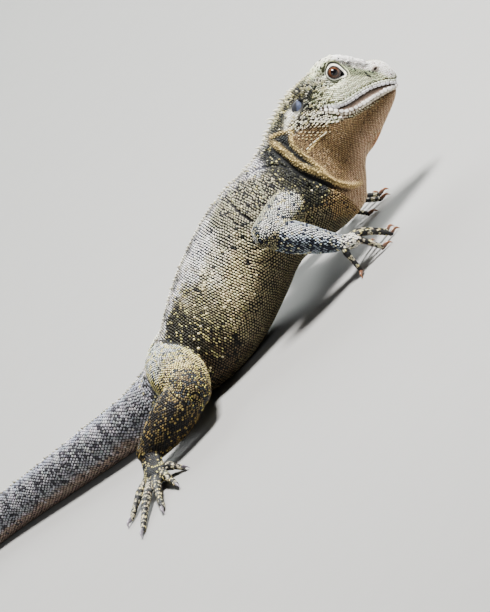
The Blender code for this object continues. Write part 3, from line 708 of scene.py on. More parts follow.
# Strokes of colour over the trunk: from and to in section numbers, from and to between back and belly,
# colours of the scales and of the hide between them, and the share of dark scales.
TRUNK_STROKES = (
    (-2, 60, 0.0, 1.0, (150, 142, 114), (13, 12, 9), 0.02),
    (-2, 9.5, 0.0, 0.62, (198, 204, 168), (58, 60, 40), 0.04),
    # Neck side: dark olive of its own, darkened further as painted shade.
    (9.3, 14.9, 0.0, 0.35, (66, 65, 46), (6, 7, 6), 0.16),
    (11.2, 15.0, 0.30, 0.66, (58, 57, 41), (5, 6, 5), 0.16),
    (11.0, 12.9, 0.12, 0.52, (30, 34, 34), (4, 5, 7), 0.20),
    (11.0, 15.5, 0.66, 1.0, (158, 131, 86), (34, 23, 12), 0.04),
    # Back edge: pale of its own, lightened further as painted light from above.
    (14.2, 22.0, 0.0, 0.13, (224, 222, 228), (92, 92, 102), 0.02),
    (12.6, 22.0, -1, 0.02, (158, 154, 146), (34, 34, 36), 0.06),
    # Upper flank: pale of its own, lightened further as painted light from above.
    (15.0, 22.0, 0.13, 0.27, (236, 233, 228), (16, 20, 28), 0.0),
    (15.0, 20.5, 0.27, 0.40, (234, 225, 198), (9, 11, 15), 0.0),
    (15.1, 20.5, 0.40, 0.58, (234, 215, 164), (7, 8, 9), 0.0),
    # Lower flank and belly: tan of their own, darkened further as painted shade under the body.
    (14.8, 21.0, 0.58, 0.68, (142, 131, 97), (6, 6, 5), 0.0),
    (14.2, 22.0, 0.68, 1.0, (122, 113, 86), (11, 10, 8), 0.0),
    (14.6, 16.0, 0.12, 0.46, (152, 148, 124), (9, 10, 9), 0.08),
    (18.0, 22.0, 0.17, 0.42, (138, 131, 98), (8, 9, 8), 0.04),
    (18.7, 22.0, 0.16, 0.48, (78, 74, 50), (6, 6, 5), 0.14),
    (19.4, 22.0, 0.16, 0.54, (42, 40, 26), (5, 5, 4), 0.20),
    (18.9, 22.0, 0.50, 0.70, (84, 71, 50), (6, 5, 4), 0.14),
    (22.0, 60, 0.0, 0.16, (154, 158, 172), (40, 43, 52), 0.04),
    (22.0, 60, 0.16, 0.62, (152, 153, 159), (32, 32, 36), 0.08),
    (22.0, 60, 0.62, 1.0, (146, 128, 116), (34, 26, 21), 0.02),
)
# Strokes over head and throat: a line on the view and its width, then colours and share of dark as above.
HEAD_STROKES = (
    (((150, 94), (160, 90), (169, 78.5), (173, 73)), 3.6, (206, 206, 188), (56, 62, 58), 0.16),
    (((131, 83), (141, 80), (149, 77)), 6.5, (190, 192, 172), (8, 10, 15), 0.30),
    (((139, 74), (150, 70), (163, 65)), 5.5, (230, 234, 200), (92, 94, 66), 0.0),
    (((161, 78), (167, 73), (174, 66)), 5.0, (126, 134, 104), (26, 32, 21), 0.10),
    (((166, 84), (179, 66), (182, 58)), 5.0, (236, 234, 228), (146, 136, 128), 0.01),
    (((123, 89), (128.5, 87), (134, 85.5)), 4.2, (82, 77, 48), (5, 6, 7), 0.45),
    (((117.5, 76.5), (121.5, 78)), 4.4, (254, 251, 240), (220, 216, 198), 0.0),
    (((108, 86), (113, 83), (119, 91)), 5.0, (74, 71, 50), (6, 7, 6), 0.22),
    (((117, 73), (126, 71), (134, 66)), 4.6, (230, 223, 200), (34, 26, 17), 0.02),
    (((143, 59), (156, 55), (172, 53)), 3.4, (196, 182, 166), (76, 58, 44), 0.02),
)
# The lower edge of the pale jaw on the view.
THROAT_LINE = ((111.5, 70.6), (118, 70.1), (127.4, 64.6), (133.4, 60.7), (145.8, 53.6), (158.7, 50.6),
               (172.1, 49.4))
# The same for the limbs: along from the body outwards, 0 to 1, and from the top, 0, to the underside, 1.
LIMB_STROKES = {
    "upper_arm": (
        (-1, 2, 0, 1, (230, 222, 188), (11, 12, 11), 0.02),
        (0.5, 2, 0.1, 0.6, (212, 212, 204), (10, 14, 23), 0.06),
        (-1, 2, 0.6, 1, (146, 140, 108), (10, 10, 8), 0.14),
        (-1, 2, -1, 0.1, (150, 150, 130), (12, 14, 18), 0.22),
    ),
    "forearm": (
        (-1, 2, 0, 1, (190, 202, 218), (7, 10, 18), 0.16),
        (-1, 2, 0.0, 0.34, (234, 238, 240), (12, 18, 30), 0.08),
        (-1, 2, -1, 0.1, (146, 153, 160), (9, 12, 18), 0.34),
        (-1, 2, 0.56, 1, (128, 138, 147), (6, 8, 12), 0.38),
    ),
    "hand": ((-1, 2, 0, 1, (216, 212, 198), (28, 28, 34), 0.20),),
    "thigh": (
        (-1, 2, 0, 1, (230, 219, 162), (15, 14, 10), 0.06),
        (-1, 0.7, 0.0, 0.36, (192, 196, 190), (20, 26, 34), 0.12),
        (-1, 2, 0.34, 0.62, (238, 224, 164), (12, 11, 8), 0.12),
        (-1, 2, 0.62, 1, (150, 132, 94), (11, 8, 5), 0.12),
        (0.66, 2, 0, 1, (216, 198, 142), (10, 9, 6), 0.16),
        (0.84, 2, 0, 1, (118, 103, 70), (8, 6, 4), 0.34),
    ),
    "shank": (
        (-1, 2, 0, 1, (50, 41, 26), (4, 3, 2), 0.55), (-1, 0.30, 0, 1, (112, 98, 62), (6, 5, 3), 0.40),
        (-1, 2, 0.7, 1, (56, 42, 30), (5, 4, 3), 0.4)),
    # Foot: its own colour, darkened further as painted shade.
    "foot": ((-1, 2, 0, 1, (146, 139, 100), (5, 6, 8), 0.66),),
    "digit": (
        (-1, 2, 0, 1, (160, 153, 128), (8, 8, 10), 0.34),
        (-1, 2, 0.8, 1, (124, 112, 94), (28, 24, 20), 0.0),
    ),
}
# Dark scales of each kind of flesh, the flecks that the pale ones there take on, and how many do.
DARKS = {
    "trunk": ((20, 22, 23), (190, 180, 118), 0.0), "throat": ((70, 54, 38), (170, 146, 112), 0.0),
    "upper_arm": ((40, 47, 58), (220, 208, 146), 0.2), "forearm": ((24, 32, 50), (228, 220, 176), 0.40),
    "hand": ((22, 26, 35), (214, 202, 150), 0.3), "thigh": ((42, 49, 57), (222, 208, 116), 0.55),
    "shank": ((8, 7, 5), (158, 136, 76), 0.42), "foot": ((16, 19, 26), (206, 190, 104), 0.6),
    "digit": ((15, 17, 22), (206, 190, 120), 0.35),
}


def below_jaw(view):
    """One on the throat below the pale jaw, and zero elsewhere."""
    x, height = view.T
    return eased((np.interp(x, *np.array(THROAT_LINE).T) - height) / 2.4 + 0.5) * window(x, 112.0, 220, 1.5)


class Paint:
    """Colours of the scales of one stretch and of the hide between them, and the share of dark scales."""

    def __init__(self, count):
        self.scales, self.gap, self.share = np.zeros((count, 3)), np.zeros((count, 3)), np.zeros(count)

    def tint(self, weight, colour):
        """Draws the scales towards a colour."""
        self.scales = mix(self.scales, tone(*colour), weight)

    def shade(self, amount):
        """Darkens the scales by an amount of their own."""
        self.scales = self.scales * (1 - amount)[:, None]

    def stroke(self, weight, scales, gap, share):
        """Draws scales, hide and share of dark scales towards these."""
        self.tint(weight, scales)
        self.gap = mix(self.gap, tone(*gap), weight)
        self.share += (share - self.share) * weight


def mark_head(paint_on, points, along, down, patches):
    """Stripes of the head, the streaked throat and the lines of the lower jaw."""
    view = pictured(points)
    front = window(along, -2, 11.5, 0.6)
    for line, width, *looks in HEAD_STROKES:
        paint_on.stroke(front * near_line(view, line, width, 3.0), *looks)
    paint_on.stroke(front * window(down, -1, 0.05, 0.04), (142, 139, 108), (40, 42, 30), 0.12)
    throat = below_jaw(view)
    streaks = 0.5 + 0.5 * np.cos((view[:, 0] - 0.8 * view[:, 1]) * 2.9 + grain(points, 8.0, 3.0) * 2.2)
    paint_on.stroke(throat, (126, 102, 68), (56, 42, 25), 0.03)
    paint_on.stroke(throat * eased((down - 0.66) / 0.2), (202, 172, 140), (116, 88, 64), 0.02)
    edge = throat * near_line(view, ((150, 33), (143, 30), (136, 27)), 3.2, 3.0)
    paint_on.stroke(edge, (186, 126, 84), (120, 80, 52), 0.0)
    paint_on.shade(-0.75 * throat * (streaks ** 2 - 0.35))
    over = view[:, 1] - (VIEW_COS * np.interp(view[:, 0], *MOUTH_RISE) - 4.2)
    lines = window(over, 4.0, 15.0, 2.5) * window(view[:, 0], 132, 170, 6)
    paint_on.shade(0.50 * lines * eased(np.cos(over * 2 * math.pi / 2.7 + 0.5 * patches) + 0.3))


def mark_back(paint_on, length, along, down, patches, wander):
    """Bars over the back, rings of the tail and the dark blotch behind the ear."""
    over_back = window(along, 12.5, 22, 0.6) * window(down, -1, 0.05, 0.03)
    paint_on.shade(0.55 * over_back * eased(np.cos(along * 5.2 + wander) * 2))
    bars = np.cos(length * 2 * math.pi / 12.5 + patches * 2.4 + 1.6 * np.sin(length / 23))
    on_tail = window(along, 21.8, 60, 0.5) * window(down, -1, 0.62, 0.06)
    paint_on.share += on_tail * (0.10 - 0.4 * eased((bars - 0.3) / 0.5))
    paint_on.shade(0.30 * on_tail * eased(wander + 0.4 - 0.3 * bars))
    paint_on.tint(0.55 * on_tail * eased((bars - 0.6) / 0.3), (196, 194, 198))
    paint_on.shade(-0.35 * window(along, 34, 60, 5))
    paint_on.share += 0.25 * window(along, 8.8, 11.8, 0.5) * window(down, 0.24, 0.40, 0.05)


def mark_leg(paint_on, kind, points, wander):
    """The marbling of thigh and shank."""
    marble = eased(1.4 * wander + 0.9 * np.sin(grain(points, 9.0, 4.0) * 5.0) - 0.1)
    paint_on.shade((0.42 if kind == "thigh" else 0.62) * marble)
    paint_on.gap = paint_on.gap * (1 - 0.4 * marble)[:, None]
    if kind == "shank":
        paint_on.tint(0.55 * eased(0.5 - marble - 0.3 * wander), (140, 120, 70))


def marked(name, at, draw):
    """Colours of the scales of one stretch and of the hide between them."""
    points, down = at["point"], 1 - np.abs(1 - 2 * at["round"])
    kind = "digit" if "digit" in name else name.rsplit("_", 1)[0] if "_" in name else name
    if kind == "brow":
        kind, down = "trunk", np.full(len(down), 0.1)
    body = kind in ("trunk", "throat")
    along = at["t"] if body else at["along_share"]
    soft = (0.8, 0.09) if body else (0.14, 0.09)
    paint_on = Paint(len(along))
    patches = grain(points, 7.0) * 0.5 + grain(points, 2.6, 5.0) * 0.6
    wander = grain(points, 11.0, 9.0) * 0.7 + grain(points, 3.4, 2.0) * 0.5
    ragged_along, ragged_down = along + wander * (0.45 if body else 0.08), down + wander * 0.05
    for a0, a1, d0, d1, *looks in TRUNK_STROKES if body else LIMB_STROKES[kind]:
        paint_on.stroke(window(ragged_along, a0, a1, soft[0]) * window(ragged_down, d0, d1, soft[1]), *looks)
    dark, fleck, flecked = DARKS[kind]
    dark = tone(*dark) * np.ones((len(points), 1))
    flecked = flecked * np.ones(len(points))
    if body:
        mark_head(paint_on, points, along, down, patches)
        mark_back(paint_on, at["length_at"], along, down, patches, wander)
        dark = mix(dark, tone(22, 21, 14), window(along, 17.5, 21.5, 0.8))
        dark = mix(dark, tone(62, 61, 67), window(along, 22, 60, 0.5))
        flecked = 0.36 * window(along, 18.2, 21.6, 0.8) * window(down, 0.1, 0.55, 0.06)
        flecked += 0.20 * window(along, 9, 14.8, 1) * window(down, 0.0, 0.6, 0.06)
    elif kind in ("thigh", "shank"):
        mark_leg(paint_on, kind, points, wander)
    elif kind == "digit":
        bands_at = np.cos(at["length_at"] * 2 * math.pi / (5.6 if "hand" in name else 4.6) + patches)
        paint_on.share += 0.80 * (bands_at > -0.1) * (down < 0.85)
    pale = draw.random(len(points)) < flecked * eased(patches * 2 + 0.6)
    paint_on.tint(0.75 * pale, fleck)
    is_dark = (draw.random(len(points)) < paint_on.share * (1 + 1.2 * patches))[:, None]
    vary = 1 + 0.13 * draw.standard_normal((len(points), 1)) + 0.03 * draw.standard_normal((len(points), 3))
    colour = paint_on.scales
    scales = np.where(is_dark, mix(dark, colour, 0.015), colour) * vary
    return np.clip(scales, 0.004, 0.93), paint_on.gap, is_dark[:, 0]


# From one ring of scales to the next, and how far a ring waves, as shares of the spacing within a ring.
ROW_SHARE, ROW_WAVE = 0.76, 0.3


def lattice(rows, sides, pitch, t=None):
    """Places of scales in staggered rings along a stretch, with their directions and sizes."""
    rings = ring_points(rows, sides)
    step = np.linalg.norm(np.diff(rings, axis=0), axis=2).mean(1)
    s = np.concatenate([[0], np.cumsum(step)])
    pitch = np.broadcast_to(pitch, s.shape)
    density = np.concatenate([[0], np.cumsum(step / ROW_SHARE / (0.5 * (pitch[1:] + pitch[:-1])))])
    count = int(density[-1] - 0.5)
    ring_at = np.interp(np.arange(count) + 0.5, density, np.arange(len(s)))
    i = np.minimum(ring_at.astype(int), len(rings) - 2)
    f = (ring_at - i)[:, None, None]
    circles = rings[i] * (1 - f) + rings[i + 1] * f
    pitch_at = np.interp(ring_at, np.arange(len(s)), pitch)
    length_at = np.interp(ring_at, np.arange(len(s)), s)
    t_at = np.interp(ring_at, np.arange(len(s)), t) if t is not None else length_at
    closed = np.concatenate([circles, circles[:, :1]], 1)
    steps = np.linalg.norm(np.diff(closed, axis=1), axis=2)
    arc = np.concatenate([np.zeros((count, 1)), np.cumsum(steps, 1)], 1)

    def at(k, share):
        target = share * arc[k, -1]
        j = np.clip(np.searchsorted(arc[k], target, side="right") - 1, 0, sides - 1)
        g = ((target - arc[k, j]) / np.maximum(arc[k, j + 1] - arc[k, j], 1e-9))[:, None]
        return closed[k, j] * (1 - g) + closed[k, j + 1] * g

    keys = ("point", "along", "across", "long", "wide", "round", "t", "length_at", "along_share")
    found = {key: [] for key in keys}
    many = 0
    for k in range(count):
        wanted = arc[k, -1] / pitch_at[k]
        if abs(wanted - many) > 0.08 * wanted:
            many = max(5, int(round(wanted)))
        share = ((np.arange(many) + 0.5 * (k % 2)) / many) % 1.0
        ahead, behind = at(max(k - 1, 0), share), at(min(k + 1, count - 1), share)
        found["point"].append(at(k, share))
        found["along"].append(behind - ahead)
        found["across"].append(at(k, (share + 0.004) % 1) - at(k, (share - 0.004) % 1))
        found["long"].append(np.linalg.norm(behind - ahead, axis=1))
        found["wide"].append(np.full(many, arc[k, -1] / many))
        found["round"].append(share)
        levels = {"t": t_at[k], "length_at": length_at[k], "along_share": length_at[k] / s[-1]}
        for key, value in levels.items():
            found[key].append(np.full(many, value))
    found = {key: np.concatenate(value) for key, value in found.items()}
    way = found["along"] / np.maximum(found["long"], 1e-9)[:, None]
    found["point"] += way * (ROW_WAVE * found["wide"] * grain(found["point"], 9.0, 4.0))[:, None]
    return found


coat = {}


def coat_places():
    """The lattice of every stretch with its colours, worked out once."""
    if coat:
        return coat
    for number, (name, (rows, sides, pitch, t)) in enumerate(stretches().items()):
        places = lattice(rows, sides, pitch, t)
        draw = np.random.default_rng(bpy.context.scene.dragon_scales.seed + number)
        places["colour"], places["gap"], places["dark"] = marked(name, places, draw)
        if name in ("trunk", "throat"):
            below = below_jaw(pictured(places["point"])) > 0.5
            chosen = below if name == "throat" else ~below
            places = {key: value[chosen] for key, value in places.items()}
        places["draw"] = draw
        coat[name] = places
    return coat


def make_skin():
    """One closed skin over all the flesh, with its folds, mouth, nostrils and ear openings."""
    parts = [loft(rows, sides) for name, (rows, sides, _, _) in stretches().items() if name != "throat"]
    turn = head_roll(HEAD_ROLL)
    tree = core_tree()
    for side in (-1, 1):
        at = on_side(tree, NOSTRIL.x, NOSTRIL.z, side)
        swell = (at.x, at.y - side * 1.5, at.z)
        parts.append(loft(moved(ball_rows(swell, (NOSTRIL_SWELL,) * 3), turn), 24))
    skin = new_object("skin", *joined(parts))
    apply_modifier(skin, "REMESH", mode="VOXEL", voxel_size=bpy.context.scene.dragon_head.skin_grain)
    apply_modifier(skin, "SMOOTH", factor=0.5, iterations=4)
    sink_orbits(skin)
    apply_modifier(skin, "SMOOTH", factor=0.5, iterations=2)
    fold_hide(skin)
    points = points_of(skin) - vectors_of(skin, "normal") * COAT
    points[:, 2] = np.maximum(points[:, 2], 0.12)
    set_points(skin, points)
    tools = [new_object("mouth_gap", *outward(*turned(mouth_gap_tool(mouth_path()))))]
    for side in (-1, 1):
        at = on_side(tree, NOSTRIL.x, NOSTRIL.z, side)
        hole = (at.x, at.y + side * 1.0, at.z)
        tools.append(new_object("nostril", *loft(moved(ball_rows(hole, NOSTRIL_RADII), turn), 16)))
        socket = Vector((EYE.x, EYE.y * side, EYE.z)) + Vector((0.85, 0, -0.85))
        ear = on_side(tree, EAR.x, EAR.z, side)
        for name, *ball in (("socket", socket, SOCKET_RADII, SOCKET_TILT), ("ear", ear, EAR_RADII, EAR_TILT)):
            tools.append(new_object(name, *loft(moved(ball_rows(*ball), turn), 32)))
    cut(skin, tools)
    count = len(skin.data.polygons) * 2 - sum(1 for p in skin.data.polygons if len(p.vertices) == 3)
    apply_modifier(skin, "DECIMATE", ratio=min(1.0, SKIN_FACES / count), use_collapse_triangulate=True)
    smooth(skin)
    return skin


def turned(surface):
    """The same surface turned with the head."""
    points, faces = surface
    return turned_by(points, 1), faces


def sink_orbits(skin):
    """Presses the dish that each eye lies in into the side of the head."""
    points = points_of(skin)
    near = points[:, 0] > 120
    local = turned_by(points[near], -1)
    across, rise = tilted(local[:, 0] - ORBIT.x, local[:, 2] - ORBIT.z, ORBIT_TILT)
    inside = (across / ORBIT_RADII[0]) ** 2 + (rise / ORBIT_RADII[2]) ** 2
    wall = ORBIT.y - ORBIT_RADII[1] * np.sqrt(np.maximum(0, 1 - inside))
    y = local[:, 1]
    press = (inside < 1) & (np.abs(y) > wall)
    local[:, 1] = np.where(press, np.sign(y) * wall, y)
    points[near] = turned_by(local, 1)
    set_points(skin, points)


def fold_lines():
    """The folds of both sides as points on the trunk, about a millimetre apart."""
    rows = stretches()["trunk"][0]
    tree = tree_of(*loft(rows, TRUNK_SIDES))
    for line, width, height, pale in FOLDS:
        even = spline(np.array(line), np.linspace(0, len(line) - 1, 8 * len(line)))
        for side in (-1, 1):
            hits = [on_side(tree, x, z, side) for x, z in even]
            hits = np.array([list(h) for h in hits if h is not None])
            yield hits, width, height, pale


def distances(points, line):
    """How far each point is from a line of close points, and its nearest one's number."""
    best, which = np.full(len(points), 1e9), np.zeros(len(points), int)
    for k, spot in enumerate(line):
        d = np.linalg.norm(points - spot, axis=1)
        closer = d < best
        best[closer], which[closer] = d[closer], k
    return best, which


def near_fold(points, line):
    """Which points lie near a fold, how far off they are, and how many steps from its nearer end."""
    low, high = line.min(0) - 6, line.max(0) + 6
    near = np.where(((points > low) & (points < high)).all(1))[0]
    distance, which = distances(points[near], line)
    return near, distance, np.minimum(which, len(line) - 1 - which)


def near_mouth(points):
    """Which points lie near the mouth, how far off, which of them are below it, and the band there."""
    path = turned_by(mouth_path(), 1)
    near = np.where((points > path.min(0) - 8).all(1) & (points < path.max(0) + 4).all(1))[0]
    distance, which = distances(points[near], path)
    below = pictured(points[near])[:, 1] < pictured(path)[which, 1]
    return near, distance, below, lower_lip(which / (len(path) - 1))


def fold_hide(skin):
    """Raises the ridges and sinks the creases of the hide."""
    points, normals = points_of(skin), vectors_of(skin, "normal")
    for line, width, height, _ in fold_lines():
        near, distance, inward = near_fold(points, line)
        ends = inward / (0.18 * len(line))
        push = height * np.exp(-(distance / width) ** 2) * eased(ends + 0.15)
        points[near] += normals[near] * push[:, None]
    near, distance, below, band = near_mouth(points)
    trough = np.where(below, np.sin(math.pi * np.clip(distance / (band + 0.6), 0, 1)), 0) * band
    points[near] -= normals[near] * (0.24 * trough)[:, None]
    set_points(skin, points)


def surface_colours(skin):
    """Colours of the skin's points: of the hide between the nearest scales, with painted shade along the
    mouth's rim, darkest at its slit, and round the ear openings.
    """
    places = list(coat_places().values())
    spots = np.vstack([p["point"] for p in places])
    gaps = np.vstack([p["gap"] for p in places])
    tree, points = kd_tree(spots), points_of(skin)
    colours = np.empty((len(points), 3))
    for k, point in enumerate(points):
        found = tree.find_n(point, 3)
        colours[k] = sum(gaps[index] for _, index, _ in found) / 3
    colours = tinted_by_folds(points, colours, 0.2)
    near, distance, below, band = near_mouth(points)
    # Painted shade along the mouth: darkest at its slit, fading over the sunken band below it and a narrow
    # strip above.
    band = np.where(below, 0.8 + band, 0.7)
    mouth_shade = mix(tone(34, 23, 19), tone(134, 116, 104), eased(distance / 3.0))
    colours[near] = mix(colours[near], mouth_shade, eased((band - distance) / 0.9 + 0.5))
    # Painted shade round the rim of each ear opening.
    rim = eased((1.35 - around_ear(turned_by(points, -1))) / 0.3)
    return mix(colours, tone(40, 40, 38), 0.9 * rim)


def around_ear(local):
    """Distance from the middle of the nearer ear on the unturned head, one at its opening's edge."""
    at = on_side(core_tree(), EAR.x, EAR.z, 1)
    across, rise = tilted(local[:, 0] - at.x, local[:, 2] - at.z, EAR_TILT)
    far = np.hypot(across / EAR_RADII[0], rise / EAR_RADII[2])
    return np.where(np.abs(np.abs(local[:, 1]) - at.y) < 6, far, 9.0)


def lower_lip(share):
    """Height of the smooth band below the mouth's slit, which is sunk and painted with shade, at a share of
    its path.
    """
    u = 1 - np.abs(2 * share - 1)
    return 3.2 * np.sin(math.pi * np.clip((u - 0.12) / 0.8, 0, 1)) ** 0.8


def tinted_by_folds(points, colours, strength):
    """Folds paint shade into a crease, the more the deeper it is, and gild a pale ridge, on skin and scales
    alike.
    """
    for line, width, height, pale in fold_lines():
        near, distance, inward = near_fold(points, line)
        ends = eased(inward / (0.12 * len(line)) + 0.3)
        weight = np.exp(-(distance / (width * (0.75 if height < 0 else 0.9))) ** 2) * ends
        # A crease takes painted shade; a pale ridge takes its own gold.
        target = tone(240, 208, 132) if pale else tone(12, 14, 18)
        share = weight * (0.85 * strength if pale else 0.95 * min(1, (height / 1.1) ** 2))
        colours[near] = mix(colours[near], target, share)
    return colours


def paint(obj, colours):
    """Stores a colour for each point of the mesh, painted light and shade included, which the finish reads.
    """
    attribute = obj.data.color_attributes.new("marking", "FLOAT_COLOR", "POINT")
    full = np.ones((len(colours), 4), np.float32)
    full[:, :3] = colours
    attribute.data.foreach_set("color", full.ravel())


def note(obj, name, values):
    """Stores a number for each point of the mesh, which the finish reads."""
    attribute = obj.data.attributes.new(name, "FLOAT", "POINT")
    attribute.data.foreach_set("value", values.astype(np.float32))


class Seat:
    """The skin as a surface that the small pieces are set on."""

    def __init__(self, skin):
        self.points, self.normals = points_of(skin), vectors_of(skin, "normal")
        self.faces = triangles_of(skin)
        self.tree = tree_of(self.points, self.faces)

    def nearest(self, points):
        """Nearest places, the smooth normals there and the distances."""
        places, normals = np.empty((len(points), 3)), np.empty((len(points), 3))
        far = np.empty(len(points))
        for k, point in enumerate(points):
            place, _, face, distance = self.tree.find_nearest(point)
            places[k], far[k] = place, distance
            normals[k] = self.normals[self.faces[face]].sum(0)
        return places, unit(normals), far


# One scale: along, across and height of its points, from the buried front edge to the free tip and keel.
# Then its triangles, and each point's painted shade and highlight: darkest at the buried edge, lightest on
# the keel.
SCALE = (
    np.array(((-0.50, 0.0, -0.30), (-0.26, -0.50, -0.10), (0.28, -0.44, 0.05), (0.56, 0.0, 0.25),
              (0.28, 0.44, 0.05), (-0.26, 0.50, -0.10), (-0.20, 0.0, 0.70), (0.34, 0.0, 1.0))),
    np.array(((0, 1, 6), (1, 7, 6), (1, 2, 7), (2, 3, 7), (3, 4, 7), (4, 5, 7), (5, 6, 7), (5, 0, 6),
              (0, 2, 1), (0, 3, 2), (0, 4, 3), (0, 5, 4))),
    np.array((0.14, 0.32, 0.62, 1.0, 0.62, 0.32, 1.02, 1.25)),
)


# Length and width of a scale as shares of its place, and height as a share of the flank's.
SCALE_SIZES = {
    "trunk": (0.42, 0.74, 1.0), "throat": (0.52, 0.74, 0.7), "brow": (0.65, 0.82, 0.9),
    "upper_arm": (0.40, 0.76, 0.9), "forearm": (0.56, 0.60, 1.0), "hand": (0.60, 0.76, 0.6),
    "thigh": (0.42, 0.78, 0.9), "shank": (0.57, 0.74, 0.8), "foot": (0.60, 0.76, 0.6),
    "digit": (0.64, 0.80, 0.5),
}


def spine_shape():
    """One spine of nape and temple, which leans backwards, with painted shade at its foot and a painted
    highlight at its tip.
    """
    ring = [(math.cos(a), math.sin(a)) for a in np.radians(np.arange(6) * 60)]
    points = [(0.5 * x, 0.5 * y, -0.15) for x, y in ring]
    points += [(0.28 + 0.30 * x, 0.30 * y, 0.45) for x, y in ring] + [(1.0, 0.0, 1.0)]
    return np.array(points), horn_faces(2, 6), np.array([0.5] * 6 + [0.9] * 6 + [1.1])


def bead_shape(power=0.7, top=0.84):
    """One bead or plate: a low dome on a rounded oblong, with painted shade at its foot and a painted
    highlight on its top.
    """
    angle = np.radians(np.arange(8) * 45 + 22.5)
    ways = np.stack([np.cos(angle), np.sin(angle)], 1)
    rim = np.sign(ways) * np.abs(ways) ** power * 0.5
    shoulder = 0.85 if power < 1 else 0.7
    points = [(*p, -0.25) for p in rim] + [(*(p * top), shoulder) for p in rim] + [(0, 0, 1.0)]
    return np.array(points), horn_faces(2, 8), np.array([0.5] * 8 + [0.95] * 8 + [1.06])


def spread(shape, at, size, colour, patch):
    """Copies of one small shape as points, triangles, colours and patches of the unwrap."""
    points, faces, shade = shape
    count, corners = len(at["point"]), len(points)
    local = points[None] * size[:, None]
    placed = at["point"][:, None] + local[..., 0:1] * at["along"][:, None] \
        + local[..., 1:2] * at["across"][:, None] + local[..., 2:3] * at["up"][:, None]
    turned_faces = faces[None] + (np.arange(count) * corners)[:, None, None]
    # Each point's colour times its painted shade or highlight.
    tint = np.clip(colour[:, None] * shade[None, :, None], 0, 0.95)
    patches = patch[:, None] + points[None, :, :2] * 0.0027
    return placed.reshape(-1, 3), turned_faces.reshape(-1, 3), tint.reshape(-1, 3), patches.reshape(-1, 2)


def coat_piece(name, parts, material, nodes, slot):
    """One object of joined scales, with their colours and the map for baking."""
    points, faces, tints, patches, start = [], [], [], [], 0
    for part in parts:
        points.append(part[0])
        faces.append(part[1] + start)
        tints.append(part[2])
        patches.append(part[3])
        start += len(part[0])
    points, faces, patches = np.vstack(points), np.vstack(faces), np.vstack(patches)
    points[:, 2] = np.maximum(points[:, 2], 0.0)
    obj = new_object(name, points, faces)
    paint(obj, np.vstack(tints))
    layer = obj.data.uv_layers.new(name="OFBake")
    layer.uv.foreach_set("vector", patches[faces.ravel()].astype(np.float32).ravel())
    obj.data.shade_smooth()
    obj.data.set_sharp_from_angle(angle=math.radians(58))
    return finished(obj, material, nodes, slot)


def finished(obj, material, nodes, slot):
    """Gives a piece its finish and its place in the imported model."""
    obj.data.materials.clear()
    obj.data.materials.append(material)
    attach(obj, "root")
    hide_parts(*nodes)
    return obj


def upright(places, up, along):
    """Places with their directions up, along and across, all square to one another."""
    along = unit(along - up * np.einsum("ij,ij->i", along, up)[:, None])
    return {"point": places, "up": up, "along": along, "across": np.cross(up, along)}


def framed(at, seat, taken, keep_far=2.4, keep_turn=0.3):
    """Seats a lattice on the skin clear of the places taken: its directions there, and what is kept."""
    places, up, far = seat.nearest(at["point"])
    turn = np.einsum("ij,ij->i", unit(np.cross(at["across"], at["along"])), up)
    keep = (far < keep_far) & (np.abs(turn) > keep_turn)
    clear = 0.6 * np.minimum(at["long"], at["wide"])
    for tree in taken:
        for k in np.where(keep)[0]:
            keep[k] = tree.find(places[k])[2] > clear[k]
    if keep.any():
        taken.append(kd_tree(places[keep]))
    seated = upright(places, up, at["along"])
    return {key: value[keep] for key, value in seated.items()}, keep


def island(number, count, along, around):
    """A place in one cell of the unwrap, by the shares along and around a stretch."""
    columns = math.ceil(math.sqrt(count))
    cell = 1 / columns
    column, row = number % columns, number // columns
    return np.stack([(column + 0.02 + 0.96 * along) * cell, (row + 0.02 + 0.96 * around) * cell], 1)


def bare_places(points):
    """Places of the head that carry no common scales: lids, lips, nostrils and ears."""
    local = turned_by(points, -1)
    folded = np.stack([local[:, 0], np.abs(local[:, 1]), local[:, 2]], 1)
    tree = core_tree()
    forward, upward = lid_directions(LID_AXIS)
    eye = folded - np.array(EYE)
    flat = np.stack([eye @ np.array(forward), eye @ np.array(upward)], 1)
    distance, which = distances(flat, opening_edge())
    bare = (eye[:, 1] > 0) & ((distance < LID_REACH * np.where(flat[:, 1] < 0, LOWER_LID, 1) - 0.3)
                              | (np.linalg.norm(flat, axis=1) < 5))
    bare |= around_ear(local) < 1.04
    nostril = folded - np.array(on_side(tree, NOSTRIL.x, NOSTRIL.z, 1))
    bare |= np.linalg.norm(nostril, axis=1) < 2.1
    path = mouth_path()
    distance, which = distances(folded, path[path[:, 1] >= 0])
    half = np.count_nonzero(path[:, 1] < 0)
    below = folded[:, 2] < np.interp(folded[:, 0], *MOUTH_RISE)
    lips = np.where(below, 4.2 + lower_lip((which + half) / (len(path) - 1)), 3.7)
    ends = eased((len(path) - 1 - which - half) / 14 + 0.35)
    return bare | (distance < lips * ends)


# The scales of the body by piece: from and to in section numbers.
BODY_GROUPS = (("scales_head", -9, HEAD_ENDS), ("scales_neck", HEAD_ENDS, NECK_ENDS),
               ("scales_torso", NECK_ENDS, TORSO_ENDS), ("scales_tail", TORSO_ENDS, 99))


def shift(seated, way, reach, draw):
    """Moves places along one of their directions at random, each within a reach of its own."""
    seated["point"] += seated[way] * (reach * draw.standard_normal(len(reach)))[:, None]


def size_body(size, t, down):
    """Makes the scales of face, belly, tail and flank larger or smaller than the lattice does."""
    face = window(t, -2, 8.2, 0.4) * window(down, 0, 0.6, 0.05)
    size[:, 2] *= 1 - 0.45 * face
    size[:, 2] *= 1 - 0.35 * window(t, 14.5, 60, 0.4) * window(down, 0.66, 1, 0.05)
    tail = window(t, 21.5, 99, 0.8)
    size *= 1 + np.outer(face, (0.42, 0.16, 0)) + np.outer(tail, (0.30, 0.06, 0))
    side = window(t, 13.6, 21.5, 0.8) * window(down, 0.05, 0.52, 0.08)
    size *= 1 + np.outer(side, (-0.20, 0.26, 0.1))


